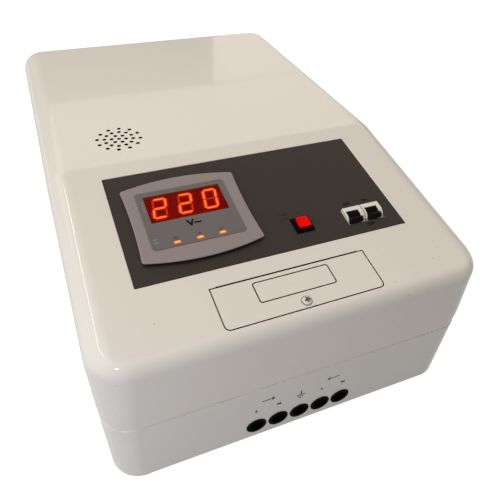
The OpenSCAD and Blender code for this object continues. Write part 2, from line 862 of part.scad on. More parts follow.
// Block of the three digits, its face just under the red filter
module digit_module() {
    color([0.12, 0.05, 0.05]) on_slope(bezel_x, window_s, digit_z - module_deep)
        linear_extrude(module_deep) square([window_w - 2 * fit, window_h - 2 * fit], center = true);
}
digit_z = face_z + face_t - window_t - segment_h - fit;
board_top = digit_z - module_deep;

// One bar of a digit, lying along X, with pointed ends
module bar(l) {
    polygon([[-l / 2, 0], [-l / 2 + segment_t / 2, segment_t / 2],
             [l / 2 - segment_t / 2, segment_t / 2], [l / 2, 0],
             [l / 2 - segment_t / 2, -segment_t / 2], [-l / 2 + segment_t / 2, -segment_t / 2]]);
}

// Places of the seven bars: [x share, y share, upright], shares of half the digit's bar grid
bar_shares = [[0, 1, 0], [1, 0.5, 1], [1, -0.5, 1], [0, -1, 0], [-1, -0.5, 1], [-1, 0.5, 1],
              [0, 0, 0]];
// Bars that are lit in each of the three digits
lit_bars = [[0, 1, 6, 4, 3], [0, 1, 6, 4, 3], [0, 1, 2, 3, 4, 5]];

// Bars of the three digits that are lit, or the others
module bars(lit) {
    grid_w = digit_w - segment_t;
    grid_h = (digit_h - segment_t) / 2;
    for (d = [0 : 2], b = [0 : 6])
        if ((len([for (k = lit_bars[d]) if (k == b) k]) > 0) == lit)
            on_slope(bezel_x + (d - 1) * digit_pitch, window_s, digit_z)
                linear_extrude(segment_h)
                    multmatrix([[1, tan(digit_slant), 0, 0], [0, 1, 0, 0], [0, 0, 1, 0],
                                [0, 0, 0, 1]])
                        translate([bar_shares[b][0] * grid_w / 2, bar_shares[b][1] * grid_h])
                            rotate(bar_shares[b][2] * 90)
                                bar((bar_shares[b][2] > 0 ? grid_h : grid_w) - segment_gap);
}

// Glowing bars
module lit_segments() {
    color("orangered") bars(true);
}

// Bars that are off
module unlit_segments() {
    color("maroon") bars(false);
}

// Three small oblong lamps under the digits
module indicator_lenses() {
    color("orange") for (i = [-1, 0, 1]) on_slope(bezel_x + i * lamp_pitch, lamp_s, board_top)
        linear_extrude(face_z + face_t - board_top)
            square([lamp_w - fit, lamp_h - fit], center = true);
}

// Circuit board behind the display
module display_board() {
    color("seagreen") on_slope(bezel_x, face_s, board_top - board_t) linear_extrude(board_t)
        square([box_w - box_wall - fit, box_h - box_wall - fit], center = true);
}

// Housing and black frame of the push button
module switch_body() {
    color([0.06, 0.06, 0.06]) difference() {
        union() {
            on_slope(switch_x, switch_s, panel_top) {
                linear_extrude(switch_flange_t)
                    soft_rect(switch_flange, switch_flange, switch_corner);
                linear_extrude(collar_h) soft_rect(collar_side, collar_side, switch_corner);
            }
            on_slope(switch_x, switch_s, -switch_deep) linear_extrude(switch_deep + panel_top)
                square(switch_side, center = true);
            for (i = [-1, 1], j = [-1, 1])
                on_slope(switch_x + i * pin_pitch, switch_s + j * pin_pitch, -switch_deep - pin_l)
                    linear_extrude(pin_l + over) square([pin_w, pin_t], center = true);
        }
        on_slope(switch_x, switch_s, cap_foot - cap_travel - over)
            linear_extrude(switch_deep) square(cap_side + 2 * fit, center = true);
    }
}

// Red cap of the push button, slightly dished on top
module push_button() {
    color("red") difference() {
        on_slope(switch_x, switch_s, cap_foot) linear_extrude(cap_proud + panel_top - cap_foot)
            soft_rect(cap_side, cap_side, cap_corner);
        on_slope(switch_x, switch_s, panel_top + cap_proud - cap_dip + dish_ball)
            sphere(r = dish_ball, $fn = round_fn);
    }
}

// One breaker module: stepped body, arched hump with a flat back, toggle slot and rail groove
module breaker(side) {
    x = breakers_x + side * (breaker_w + breaker_gap) / 2;
    color("whitesmoke") difference() {
        union() {
            on_slope(x, breaker_s, -nose_deep) linear_extrude(nose_deep - nose_top)
                square([breaker_w, nose_l], center = true);
            on_slope(x, breaker_s, -breaker_deep) rotate([90, 0, 90])
                linear_extrude(breaker_w, center = true) breaker_side();
            on_slope(x, breaker_s, -hinge_deep) rotate([0, 90, 0])
                cylinder(r = cheek_r, h = breaker_w, center = true, $fn = round_fn);
            on_slope(x, breaker_s, -nose_top - over)
                linear_extrude(nose_top + over + cheek_r - hinge_deep - hump_drop)
                    translate([-breaker_w / 2, 0]) square([breaker_w, hump_back]);
        }
        on_slope(x + drum_off, breaker_s, -hinge_deep) rotate([0, 90, 0]) {
            cylinder(r = drum_r + fit, h = drum_w + 2 * fit, center = true, $fn = round_fn);
            cylinder(r = trunnion_r + run, h = drum_w + 2 * trunnion_l + 2 * fit, center = true,
                     $fn = round_fn);
        }
        on_slope(x + drum_off, breaker_s, -nose_top) linear_extrude(nose_top + cheek_r)
            translate([-drum_w / 2 - fit, -cheek_r - over])
                square([drum_w + 2 * fit, slot_up + cheek_r + over]);
        on_slope(x, breaker_s, -breaker_deep - over) linear_extrude(rail_lap + rail_t + over)
            square([breaker_w + 2 * over, rail_w + 2 * fit], center = true);
        for (sy = [-1, 1]) on_slope(x, breaker_s + sy * (breaker_l / 2 - screw_well_in), -breaker_deep / 2)
            cylinder(r = screw_well_r, h = breaker_deep, $fn = round_fn);
    }
}
drum_off = -1;
screw_well_in = 8;
screw_well_r = 3.4;

// Side outline of the breaker's body behind its nose, y up the slope and z out
module breaker_side() {
    step = breaker_deep - nose_deep;
    polygon([[-breaker_l / 2, 0], [breaker_l / 2, 0], [breaker_l / 2, step - breaker_corner],
             [breaker_l / 2 - breaker_corner, step], [-breaker_l / 2 + breaker_corner, step],
             [-breaker_l / 2, step - breaker_corner]]);
}

// Black toggle: drum with grip grooves, trunnions and a finger lever, at its low position
module toggle(side) {
    x = breakers_x + side * (breaker_w + breaker_gap) / 2 + drum_off;
    color([0.05, 0.05, 0.05]) on_slope(x, breaker_s, -hinge_deep) difference() {
        toggle_body();
        for (i = [0 : grip_n - 1]) rotate([toggle_low - grip_start - i * grip_step, 0, 0])
            translate([0, 0, drum_r]) rotate([0, 90, 0])
                cylinder(r = grip_r, h = drum_w + 2 * over, center = true, $fn = round_fn);
    }
}
grip_n = 5;
grip_start = 28;
grip_step = 9;
grip_r = 0.35;

// Toggle without its grooves, about its axle
module toggle_body() {
    rotate([0, 90, 0]) {
        cylinder(r = drum_r, h = drum_w, center = true, $fn = round_fn);
        cylinder(r = trunnion_r, h = drum_w + 2 * trunnion_l, center = true, $fn = round_fn);
    }
    rotate([toggle_low, 0, 0]) rotate([90, 0, 90])
        linear_extrude(drum_w - 2 * lever_in, center = true) lever_side_shape();
}

// Side outline of the lever, with rounded corners at its tip
module lever_side_shape() {
    in = lever_tip_t / 2 - lever_tip_r;
    top = lever_r - lever_tip_r;
    polygon(concat([[-lever_t / 2, lever_foot], [lever_t / 2, lever_foot]],
        [for (a = [0 : tip_step : 90]) [in + lever_tip_r * cos(a), top + lever_tip_r * sin(a)]],
        [for (a = [90 : tip_step : 180]) [-in + lever_tip_r * cos(a), top + lever_tip_r * sin(a)]]));
}
tip_step = 22.5;

// Top-hat rail that the breakers clip on
module breaker_rail() {
    color("silver") on_slope(breakers_x, breaker_s, -breaker_deep) rotate([90, 0, 90])
        linear_extrude(rail_l, center = true) {
            for (s = [-1, 1]) translate([s * (rail_w / 2 - rail_brim / 2), rail_lap - rail_t / 2])
                square([rail_brim, rail_t], center = true);
            for (s = [-1, 1]) translate([s * (rail_w / 2 - rail_brim), rail_lap - rail_deep / 2])
                square([rail_t, rail_deep], center = true);
            translate([0, rail_lap - rail_deep + rail_t / 2])
                square([rail_w - 2 * rail_brim + rail_t, rail_t], center = true);
        }
}

// Folded bracket that hangs the rail from the cover
module breaker_bracket() {
    low = breaker_deep + rail_deep - rail_lap + bracket_t;
    color("gainsboro") difference() {
        on_slope(breakers_x, breaker_s, 0) rotate([90, 0, 0])
            linear_extrude(bracket_w, center = true) {
                translate([-bracket_half - bracket_t, -low])
                    square([2 * bracket_half + 2 * bracket_t, bracket_t]);
                for (s = [-1, 1]) translate([s * (bracket_half + bracket_t / 2), 0]) {
                    translate([-bracket_t / 2, -low])
                        square([bracket_t, low - wall - bracket_boss_l]);
                    translate([s * bracket_flange / 2, -wall - bracket_boss_l - bracket_t / 2])
                        square([bracket_flange + bracket_t, bracket_t], center = true);
                }
            }
        for (sx = [-1, 1], sy = [-1, 1])
            on_slope(breakers_x + sx * bracket_hole_x, breaker_s + sy * bracket_hole_s,
                     -wall - bracket_boss_l - bracket_t - over)
                cylinder(r = bracket_screw_r + fit, h = bracket_t + 2 * over, $fn = round_fn);
    }
}

// Four screws that hold the bracket to the cover
module bracket_screws() {
    color("silver") for (sx = [-1, 1], sy = [-1, 1])
        on_slope(breakers_x + sx * bracket_hole_x, breaker_s + sy * bracket_hole_s,
                 -wall - bracket_boss_l - bracket_t)
            rotate([180, 0, 0]) pan_screw(bracket_screw_r, bracket_screw_l, bracket_screw_head_r,
                                          bracket_screw_head_h);
}

// Rubber grommet in one cable entry
module cable_grommet(i) {
    neck_r = grommet_r - grommet_neck;
    color([0.08, 0.08, 0.08]) translate([entry_x(i), near_y, entry_z]) rotate([90, 0, 0])
        rotate_extrude($fn = round_fn) difference() {
            union() {
                translate([grommet_bore_r, 0]) square([grommet_r - grommet_soft - grommet_bore_r,
                                                       grommet_proud]);
                translate([grommet_bore_r, 0]) square([grommet_r - grommet_bore_r,
                                                       grommet_proud - grommet_soft]);
                translate([grommet_r - grommet_soft, grommet_proud - grommet_soft])
                    circle(r = grommet_soft, $fn = round_fn);
                translate([grommet_bore_r, -wall]) square([neck_r - grommet_bore_r, wall]);
                translate([grommet_bore_r, -wall - grommet_lip])
                    square([grommet_r - grommet_bore_r, grommet_lip]);
            }
            translate([0, -wall]) square([grommet_bore_r, wall]);
        }
}

// Moulded block of five screw terminals between barriers
module terminal_block() {
    color([0.85, 0.83, 0.76]) difference() {
        union() {
            translate([-block_w / 2, block_y - block_l / 2, wall])
                cube([block_w, block_l, block_h]);
            translate([-block_w / 2 - block_foot, block_y - block_foot / 2, block_z])
                cube([block_w + 2 * block_foot, block_foot, block_foot_h]);
        }
        for (i = [0 : poles - 1]) {
            translate([entry_x(i) - clamp_w / 2 - fit / 2, block_y - block_l / 2 - over,
                       entry_z - clamp_h / 2])
                cube([clamp_w + fit, (block_l + clamp_l) / 2 + over, clamp_h]);
            translate([entry_x(i), block_y, entry_z + clamp_h / 2 - over])
                cylinder(r = driver_hole_r, h = block_h, $fn = round_fn);
            translate([entry_x(i) - (entry_pitch - block_barrier) / 2, block_y - block_l / 2 - over,
                       wall + block_h - barrier_h])
                cube([entry_pitch - block_barrier, block_l + 2 * over, barrier_h + over]);
        }
        for (sx = [-1, 1])
            translate([sx * (block_w + block_foot) / 2, block_y, block_z - over])
                cylinder(r = block_screw_r + fit, h = block_foot_h + 2 * over, $fn = round_fn);
    }
}

// Five brass clamps, each with a bore for the wire and a threaded top
module terminal_clamps() {
    color("goldenrod") for (i = [0 : poles - 1]) difference() {
        translate([entry_x(i) - clamp_w / 2, block_y - clamp_l / 2, entry_z - clamp_h / 2])
            cube([clamp_w, clamp_l, clamp_h]);
        translate([entry_x(i), block_y, entry_z]) rotate([90, 0, 0])
            cylinder(r = clamp_hole_r, h = clamp_l + 2 * over, center = true, $fn = round_fn);
        translate([entry_x(i), block_y, entry_z])
            cylinder(r = terminal_screw_r, h = clamp_h, $fn = round_fn);
    }
}

// Five slotted clamp screws
module terminal_screws() {
    color("silver") for (i = [0 : poles - 1])
        translate([entry_x(i), block_y, entry_z + clamp_h / 2 + terminal_screw_up])
            difference() {
                union() {
                    cylinder(r = terminal_screw_head_r, h = terminal_screw_head_h, $fn = round_fn);
                    translate([0, 0, -terminal_screw_up - terminal_screw_grip])
                        cylinder(r = terminal_screw_r,
                                 h = terminal_screw_up + terminal_screw_grip + over,
                                 $fn = round_fn);
                }
                translate([0, 0, terminal_screw_head_h])
                    cube([2 * terminal_screw_head_r, slot_w, terminal_screw_head_h], center = true);
            }
}
terminal_screw_up = 2;
terminal_screw_grip = clamp_h / 2 - clamp_hole_r;

// Two screws that hold the block to the tray
module block_screws() {
    color("silver") for (sx = [-1, 1])
        translate([sx * (block_w + block_foot) / 2, block_y, block_z + block_foot_h])
            pan_screw(block_screw_r, block_foot_h + block_screw_l - over, block_screw_head_r,
                      block_screw_head_h);
}

// Folded steel plate that carries the transformer and hangs on the wall screws
module mounting_plate() {
    color("lightgray") difference() {
        translate([0, (plate_y0 + plate_y1) / 2, plate_z]) union() {
            linear_extrude(plate_t) soft_rect(plate_w, plate_y1 - plate_y0, plate_corner);
            for (sx = [-1, 1]) translate([sx * (plate_w / 2 - plate_t / 2), 0, 0])
                linear_extrude(plate_flange)
                    square([plate_t, plate_y1 - plate_y0 - 2 * plate_corner], center = true);
        }
        for (sx = [-1, 1], sy = [-1, 1]) key_place(sx, sy) translate([0, 0, plate_z - over])
            linear_extrude(plate_t + 2 * over) key_shape(0);
        for (sx = [-1, 1], y = plate_screw_ys) translate([sx * plate_screw_x, y, plate_z - over])
            cylinder(r = plate_screw_r + fit, h = plate_t + 2 * over, $fn = round_fn);
        translate([0, toroid_y, plate_z - over])
            cylinder(r = bolt_r + fit, h = plate_t + 2 * over, $fn = round_fn);
    }
}

// Six screws that hold the plate to the tray
module plate_screws() {
    color("silver") for (sx = [-1, 1], y = plate_screw_ys)
        translate([sx * plate_screw_x, y, plate_z + plate_t])
            pan_screw(plate_screw_r, plate_t + plate_screw_l - over, plate_screw_head_r,
                      plate_screw_head_h);
}

// Laminated ring core
module transformer_core() {
    color("slategray") translate([0, toroid_y, toroid_z + winding_t]) linear_extrude(core_h)
        difference() {
            circle(r = toroid_r - winding_t, $fn = round_fn);
            circle(r = toroid_hole_r + winding_t, $fn = round_fn);
        }
}
toroid_z = plate_z + plate_t + pad_t;
core_h = toroid_h - 2 * winding_t;

// Winding with its outer wrap, as a ring of rounded section round the core
module transformer_winding() {
    color("chocolate") translate([0, toroid_y, toroid_z]) rotate_extrude($fn = 2 * round_fn)
        difference() {
            translate([(toroid_hole_r + toroid_r) / 2, toroid_h / 2])
                soft_rect(toroid_r - toroid_hole_r, toroid_h, toroid_soft);
            translate([toroid_hole_r + winding_t, winding_t])
                square([toroid_r - toroid_hole_r - 2 * winding_t, core_h]);
        }
}

// Rubber disc under or over the winding
module pad(z) {
    color([0.1, 0.1, 0.1]) translate([0, toroid_y, z]) linear_extrude(pad_t) difference() {
        circle(r = pad_r, $fn = round_fn);
        circle(r = toroid_hole_r + pad_hole_more, $fn = round_fn);
    }
}
pad_r = (toroid_r - toroid_soft) * pad_r_share;

// Dished steel disc that clamps the winding
module clamp_dish() {
    color("lightgray") translate([0, toroid_y, dish_z]) rotate_extrude($fn = round_fn)
        polygon([[bolt_r + fit, -dish_dip], [dish_land, -dish_dip],
                 [toroid_hole_r - dish_t, 0], [dish_r, 0], [dish_r, dish_t],
                 [toroid_hole_r - 2 * dish_t, dish_t], [dish_land, dish_t - dish_dip],
                 [bolt_r + fit, dish_t - dish_dip]]);
}
dish_z = toroid_z + toroid_h + pad_t;

// Long bolt up through the toroid, its head under the plate
module transformer_bolt() {
    color("silver") translate([0, toroid_y, plate_z]) {
        translate([0, 0, -bolt_sink]) cylinder(r = bolt_head_r, h = bolt_sink, $fn = round_fn);
        translate([0, 0, -bolt_sink])
            cylinder(r = bolt_r, h = bolt_sink + bolt_l, $fn = round_fn);
    }
}
bolt_sink = 3.6;
bolt_l = dish_z - dish_dip + dish_t + nut_h + bolt_spare - plate_z;

// Hexagon nut on the clamping disc
module transformer_nut() {
    color("silver") translate([0, toroid_y, dish_z - dish_dip + dish_t])
        linear_extrude(nut_h) difference() {
            circle(r = nut_r, $fn = 6);
            circle(r = bolt_r, $fn = round_fn);
        }
}

// Places of the relay board's standoffs
board_places = [for (sx = [-1, 1], sy = [-1, 0, 1])
                [sx * (board_w / 2 - board_inset), board_y + sy * (board_l / 2 - board_inset)]];

// Six spacers with their screws' heads above the board
module board_standoffs() {
    color("gold") for (p = board_places) translate([p[0], p[1], plate_z + plate_t]) {
        cylinder(r = standoff_r, h = standoff_h, $fn = 6);
        cylinder(r = standoff_screw_r, h = standoff_h + board_t, $fn = round_fn);
        translate([0, 0, standoff_h + board_t])
            cylinder(r = standoff_head_r, h = standoff_head_h, $fn = round_fn);
    }
}

// Main circuit board
module relay_board() {
    color("seagreen") difference() {
        translate([0, board_y, board_z]) linear_extrude(board_t)
            square([board_w, board_l], center = true);
        for (p = board_places) translate([p[0], p[1], board_z - over])
            cylinder(r = standoff_screw_r, h = board_t + 2 * over, $fn = round_fn);
    }
}

// Row of sealed power relays
module power_relays() {
    color([0.1, 0.1, 0.12]) for (i = [0 : relay_n - 1])
        translate([(i - (relay_n - 1) / 2) * relay_pitch, relay_y, board_z + board_t])
            linear_extrude(relay_h) soft_rect(relay_w, relay_l, relay_r);
}

// Electrolytic capacitors with a crimp groove near the foot
module board_capacitors() {
    color([0.1, 0.12, 0.3]) for (i = [0 : len(cap_rs) - 1])
        translate([cap_xs[i], cap_y, board_z + board_t]) difference() {
            cylinder(r = cap_rs[i], h = cap_hs[i], $fn = round_fn);
            translate([0, 0, cap_rs[i] / 2]) rotate_extrude($fn = round_fn)
                translate([cap_rs[i] + cap_groove / 2, 0]) circle(r = cap_groove, $fn = round_fn);
        }
}

// Small supply transformer: laminated core round a bobbin
module supply_transformer() {
    color("dimgray") translate([supply_x, supply_y, board_z + board_t]) {
        translate([-supply_w / 2, -supply_l / 2 + supply_bobbin, 0])
            cube([supply_w, supply_l - 2 * supply_bobbin, supply_h]);
        translate([-supply_w / 2 + supply_bobbin, -supply_l / 2, supply_bobbin])
            cube([supply_w - 2 * supply_bobbin, supply_l, supply_h - 2 * supply_bobbin]);
    }
}

// Ring that senses the load current
module current_sensor() {
    color([0.15, 0.25, 0.5]) translate([sensor_x, cap_y, board_z + board_t + sensor_r])
        rotate([90, 0, 0]) rotate_extrude($fn = round_fn)
            translate([(sensor_r + sensor_hole_r) / 2, 0])
                soft_rect(sensor_r - sensor_hole_r, sensor_h, relay_r);
}

// Processor in a dual-in-line package
module processor_chip() {
    color([0.08, 0.08, 0.08]) translate([chip_x, chip_y, board_z + board_t]) {
        translate([0, 0, chip_h / 2]) cube([chip_w, chip_l, chip_h], center = true);
        for (sy = [-1, 1], i = [0 : chip_legs / 2 - 1])
            translate([(i - (chip_legs / 2 - 1) / 2) * chip_w * 2 / chip_legs,
                       sy * (chip_l + chip_leg_w) / 2, chip_h / 4])
                cube([chip_leg_w, chip_leg_w, chip_h / 2], center = true);
    }
}

// Six long-reach screws that draw the cover onto the tray
module case_screws() {
    color("silver") for (p = post_places) translate([p[0], p[1], seam_z - post_web])
        rotate([180, 0, 0]) pan_screw(case_screw_r, post_web + case_screw_l - over,
                                      case_screw_head_r, case_screw_head_h);
}

base_tray();
front_cover();
control_panel();
terminal_hatch();
hatch_screw();
display_bezel();
display_face();
display_window();
digit_module();
lit_segments();
unlit_segments();
indicator_lenses();
display_board();
switch_body();
push_button();
breaker(-1);  // left_breaker
breaker(1);  // right_breaker
toggle(-1);  // left_toggle
toggle(1);  // right_toggle
breaker_rail();
breaker_bracket();
bracket_screws();
cable_grommet(0);  // cable_grommet_1
cable_grommet(1);  // cable_grommet_2
cable_grommet(2);  // cable_grommet_3
cable_grommet(3);  // cable_grommet_4
cable_grommet(4);  // cable_grommet_5
terminal_block();
terminal_clamps();
terminal_screws();
block_screws();
mounting_plate();
plate_screws();
transformer_core();
transformer_winding();
pad(plate_z + plate_t);  // lower_pad
pad(dish_z - pad_t);  // upper_pad
clamp_dish();
transformer_bolt();
transformer_nut();
board_standoffs();
relay_board();
power_relays();
board_capacitors();
supply_transformer();
current_sensor();
processor_chip();
case_screws();
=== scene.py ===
import math

import bmesh
import bpy
import numpy as np
from mathutils import Matrix, Vector
from mathutils.geometry import delaunay_2d_cdt


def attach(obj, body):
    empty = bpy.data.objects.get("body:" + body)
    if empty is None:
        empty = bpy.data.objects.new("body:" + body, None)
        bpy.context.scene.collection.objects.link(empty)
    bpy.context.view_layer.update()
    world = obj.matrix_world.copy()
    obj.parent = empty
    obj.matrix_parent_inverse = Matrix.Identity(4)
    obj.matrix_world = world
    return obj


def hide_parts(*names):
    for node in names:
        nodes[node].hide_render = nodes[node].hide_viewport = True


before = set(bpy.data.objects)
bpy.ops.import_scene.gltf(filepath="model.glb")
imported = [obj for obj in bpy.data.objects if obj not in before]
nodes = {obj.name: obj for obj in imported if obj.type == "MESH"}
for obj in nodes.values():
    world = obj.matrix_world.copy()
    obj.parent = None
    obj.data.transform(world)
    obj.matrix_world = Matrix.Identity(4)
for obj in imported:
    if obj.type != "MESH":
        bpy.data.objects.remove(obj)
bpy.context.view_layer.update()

# Sizes of the casing, in millimetres, as in the CAD model
MM = 0.001
HALF_W = 170.0
LENGTH = 519.0
HEIGHT = 187.0
NEAR_Y = -259.1
FAR_Y = NEAR_Y + LENGTH
SLOPE_L = 204.0
CREASE_Y = NEAR_Y + SLOPE_L
TILT = math.radians(9.45)
SLOPE_RUN = SLOPE_L / math.cos(TILT)
SEAM_Z = 79.0
SKIN = 3.0
CORNER_R = 26.0
EDGE_R = 20.0
CREASE_R = 34.0
CREASE_AXIS = (CREASE_Y + CREASE_R * math.tan(TILT / 2), HEIGHT - CREASE_R)

# The near edge is tighter than the others and drawn down the wall, and its corners are rounder at the top
NEAR_EDGE_R = 9.4
NEAR_EDGE_DROP = 6.0
NEAR_EDGE_ROOM = 0.083
TOP_CORNER_R = 31.5
CORNER_POWER = 1.7

# Plates and openings on the sloped face: x sideways, v up the slope from the crease, width, height
PANEL_W, PANEL_H = 243.2, 122.5
PANEL = (-1.1, -(19.4 + PANEL_H / 2), PANEL_W, PANEL_H)
HATCH_W, HATCH_H = 135.0, 37.9
HATCH = (-2.4, -(SLOPE_RUN - 9.4 - HATCH_H / 2), HATCH_W, HATCH_H)
SCREW = (HATCH[0], HATCH[1] - HATCH_H / 2 + 6.0)
BEZEL_X = PANEL[0] - 60.1
BEZEL_V = PANEL[1] - 2.9
FACE_V = BEZEL_V + 1.3
WINDOW_V = BEZEL_V + 13.8
LAMP_V = BEZEL_V - 26.6
LAMP_XS = [BEZEL_X + i * 19.3 for i in (-1, 0, 1)]
SWITCH = (PANEL[0] + 29.5, PANEL[1] - 37.85)
BREAKERS = (PANEL[0] + 89.2, PANEL[1] - 39.45)

# Openings and lamps as width, height and corner radius
DISPLAY_CUT = (85.8, 70.6, 0.5)
SWITCH_CUT = (14.4, 14.4, 0.3)
BREAKER_CUT = (37.4, 17.1, 0.3)
RECESS = (79.8, 64.6, 3.0)
WINDOW = (68.3, 31.2, 0.3)
LAMP_HOLE = (6.1, 2.7, 0.3)
LAMP = (5.9, 2.5, 0.8)
HALO_SIZE = (6.0, 2.6, 0.8)

# Gaps beside the panel and the hatch, the slot along the hatch's top, and its plate's growth and rim radius
PANEL_GAP = 0.4
HATCH_GAP = 0.75
HATCH_SLOT = 0.4
HATCH_GROW = -0.2
HATCH_RIM = 0.22

# Levels above the sloped face
PANEL_SEAT = -1.2
PANEL_TOP = -0.4
BEZEL_TOP = PANEL_TOP + 4.9
FACE_Z = BEZEL_TOP - 1.2
HATCH_SEAT = -2.3
HATCH_UNDER = -2.2

# Vents on the flat part and entries in the near wall
VENT_CENTRE = (74.7 - HALF_W, CREASE_Y + 43.0)
VENT_PITCH = 6.9
VENT_TURN = -11
VENT_R = 1.92
VENT_RIM = 0.08
VENT_FLOOR = -1.0
VENT_FIELD_R = 24.7
ENTRY_PITCH = 21.6


def columns(points, lift):
    """Flat points and their lift, which is one number or one for each point, as three equal columns."""
    p = np.asarray(points, float)
    return p[:, 0], p[:, 1], np.broadcast_to(np.asarray(lift, float), (len(p),))


def on_slope(points, lift=0.0):
    """Points (x, v) on the sloped face, raised by lift along its normal, as places in the frame."""
    x, v, w = columns(points, lift)
    y = CREASE_Y + v * math.cos(TILT) - w * math.sin(TILT)
    z = HEIGHT + v * math.sin(TILT) + w * math.cos(TILT)
    return np.column_stack([x, y, z])


def on_flat(points, lift=0.0):
    """Points (x, y) on the flat far part of the front, raised by lift."""
    x, y, w = columns(points, lift)
    return np.column_stack([x, y, HEIGHT + w])


def on_near_wall(points, lift=0.0):
    """Points (x, z) on the wall with the cable entries, raised by lift out of it."""
    x, z, w = columns(points, lift)
    return np.column_stack([x, NEAR_Y - w, z])


class Skin:
    """Gathers patches of a surface: each patch is an array of places and an array of faces."""

    def __init__(self):
        self.places = []
        self.faces = []
        self.values = []
        self.count = 0

    def patch(self, places, faces, value=0.0):
        """Adds one patch. Its faces are rows of places counted from nought, and value is one number or one
        for each place."""
        places = np.asarray(places, float)
        self.faces += [(np.asarray(face) + self.count).tolist() for face in faces]
        self.places.append(places)
        self.values.append(np.broadcast_to(np.asarray(value, float), (len(places),)))
        self.count += len(places)

    def rings(self, rings, flip=False, value=None):
        """Quads between neighbouring closed rings of equal length. Rings that run anticlockwise and
        rise give faces that look outwards."""
        rings = np.asarray(rings, float)
        k, n = rings.shape[:2]
        i = np.arange(n)
        j = np.arange(k - 1)[:, None]
        a = j * n + i
        b = j * n + (i + 1) % n
        quads = np.stack([a, b, b + n, a + n], -1).reshape(-1, 4)
        if flip:
            quads = quads[:, ::-1]
        v = 0.0 if value is None else np.repeat(np.asarray(value, float), n)
        self.patch(rings.reshape(-1, 3), quads, v)

    def fill(self, outer, holes, lift, lines=(), flip=False, value=0.0):
        """Triangles over the area inside outer and outside the holes, which are loops of flat points;
        lift turns flat points into places."""
        points, faces = triangles(outer, holes, lines)
        if flip:
            faces = faces[:, ::-1]
        self.patch(lift(points), faces, value)


def inside(points, loop):
    """Which points lie inside a loop: those whose ray to the right crosses it an odd number of times."""
    a = loop
    b = np.roll(loop, -1, axis=0)
    y = points[:, None, 1]
    crosses = (a[None, :, 1] > y) != (b[None, :, 1] > y)
    rise = np.where(b[:, 1] == a[:, 1], 1.0, b[:, 1] - a[:, 1])
    x = a[None, :, 0] + (y - a[None, :, 1]) * (b[:, 0] - a[:, 0])[None, :] / rise[None, :]
    return (crosses & (points[:, None, 0] < x)).sum(1) % 2 == 1


def triangles(outer, holes, lines=()):
    """Triangulates a flat area with holes so that every loop and line is kept as edges."""
    loops = [np.asarray(outer, float)] + [np.asarray(h, float) for h in holes]
    points = np.concatenate(loops + [np.asarray(x, float) for x in lines])
    edges = []
    start = 0
    for loop in loops:
        i = np.arange(len(loop))
        edges += np.column_stack([i + start, (i + 1) % len(loop) + start]).tolist()
        start += len(loop)
    for line in lines:
        i = np.arange(len(line) - 1)
        edges += np.column_stack([i + start, i + 1 + start]).tolist()
        start += len(line)
    out = delaunay_2d_cdt([Vector(p) for p in points.tolist()], edges, [], 0, 1e-5, False)
    flat = np.array([list(p) for p in out[0]], float)
    faces = np.array([list(f) for f in out[2]], int)
    middle = flat[faces].mean(1)
    keep = inside(middle, loops[0])
    for hole in loops[1:]:
        keep &= ~inside(middle, hole)
    faces = faces[keep]
    a, b, c = (flat[faces[:, i]] for i in range(3))
    turn = (b[:, 0] - a[:, 0]) * (c[:, 1] - a[:, 1]) - (b[:, 1] - a[:, 1]) * (c[:, 0] - a[:, 0])
    faces[turn < 0] = faces[turn < 0][:, ::-1]
    return flat, faces


def piece(
    name, skin, finish, body="casing", stands_for=(), sharp=32.0, merge=True, tells="glow"
):
    """Mesh object made from a skin, with its doubles merged and its creases kept sharp. Its values, if any,
    are kept under the name that tells what they are."""
    mesh = bpy.data.meshes.new(name)
    places = np.concatenate(skin.places) * MM
    mesh.from_pydata(places.tolist(), [], skin.faces)
    values = np.concatenate(skin.values)
    if values.any():
        tone = mesh.attributes.new(tells, "FLOAT", "POINT")
        tone.data.foreach_set("value", values.astype(np.float32))
    if merge:
        bm = bmesh.new()
        bm.from_mesh(mesh)
        bmesh.ops.remove_doubles(bm, verts=bm.verts, dist=2e-6)
        bm.to_mesh(mesh)
        bm.free()
    mesh.validate()
    mesh.polygons.foreach_set("use_smooth", np.ones(len(mesh.polygons), bool))
    mesh.set_sharp_from_angle(angle=math.radians(sharp))
    mesh.materials.append(finish)
    obj = bpy.data.objects.new(name, mesh)
    bpy.context.scene.collection.objects.link(obj)
    if merge:
        obj.modifiers.new("weighted", "WEIGHTED_NORMAL").keep_sharp = True
    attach(obj, body)
    if stands_for:
        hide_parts(*stands_for)


# Flat loops, all anticlockwise, each grown outwards by some amount


def arc(cx, cy, r, start, end, count):
    """Points on a circle from one angle to another, in degrees."""
    t = np.radians(np.linspace(start, end, count))
    return np.column_stack([cx + r * np.cos(t), cy + r * np.sin(t)])


def round_rect(cx, cy, w, h, r, grow=0.0, count=6):
    """Rectangle with quarter circles at its corners."""
    hw, hh, rr = w / 2 - r, h / 2 - r, r + grow
    return np.concatenate(
        [
            arc(cx + hw, cy - hh, rr, -90, 0, count),
            arc(cx + hw, cy + hh, rr, 0, 90, count),
            arc(cx - hw, cy + hh, rr, 90, 180, count),
            arc(cx - hw, cy - hh, rr, 180, 270, count),
        ]
    )


def ring_loop(cx, cy, r, count=32):
    """Full circle."""
    return arc(cx, cy, r, 0, 360, count + 1)[:-1]


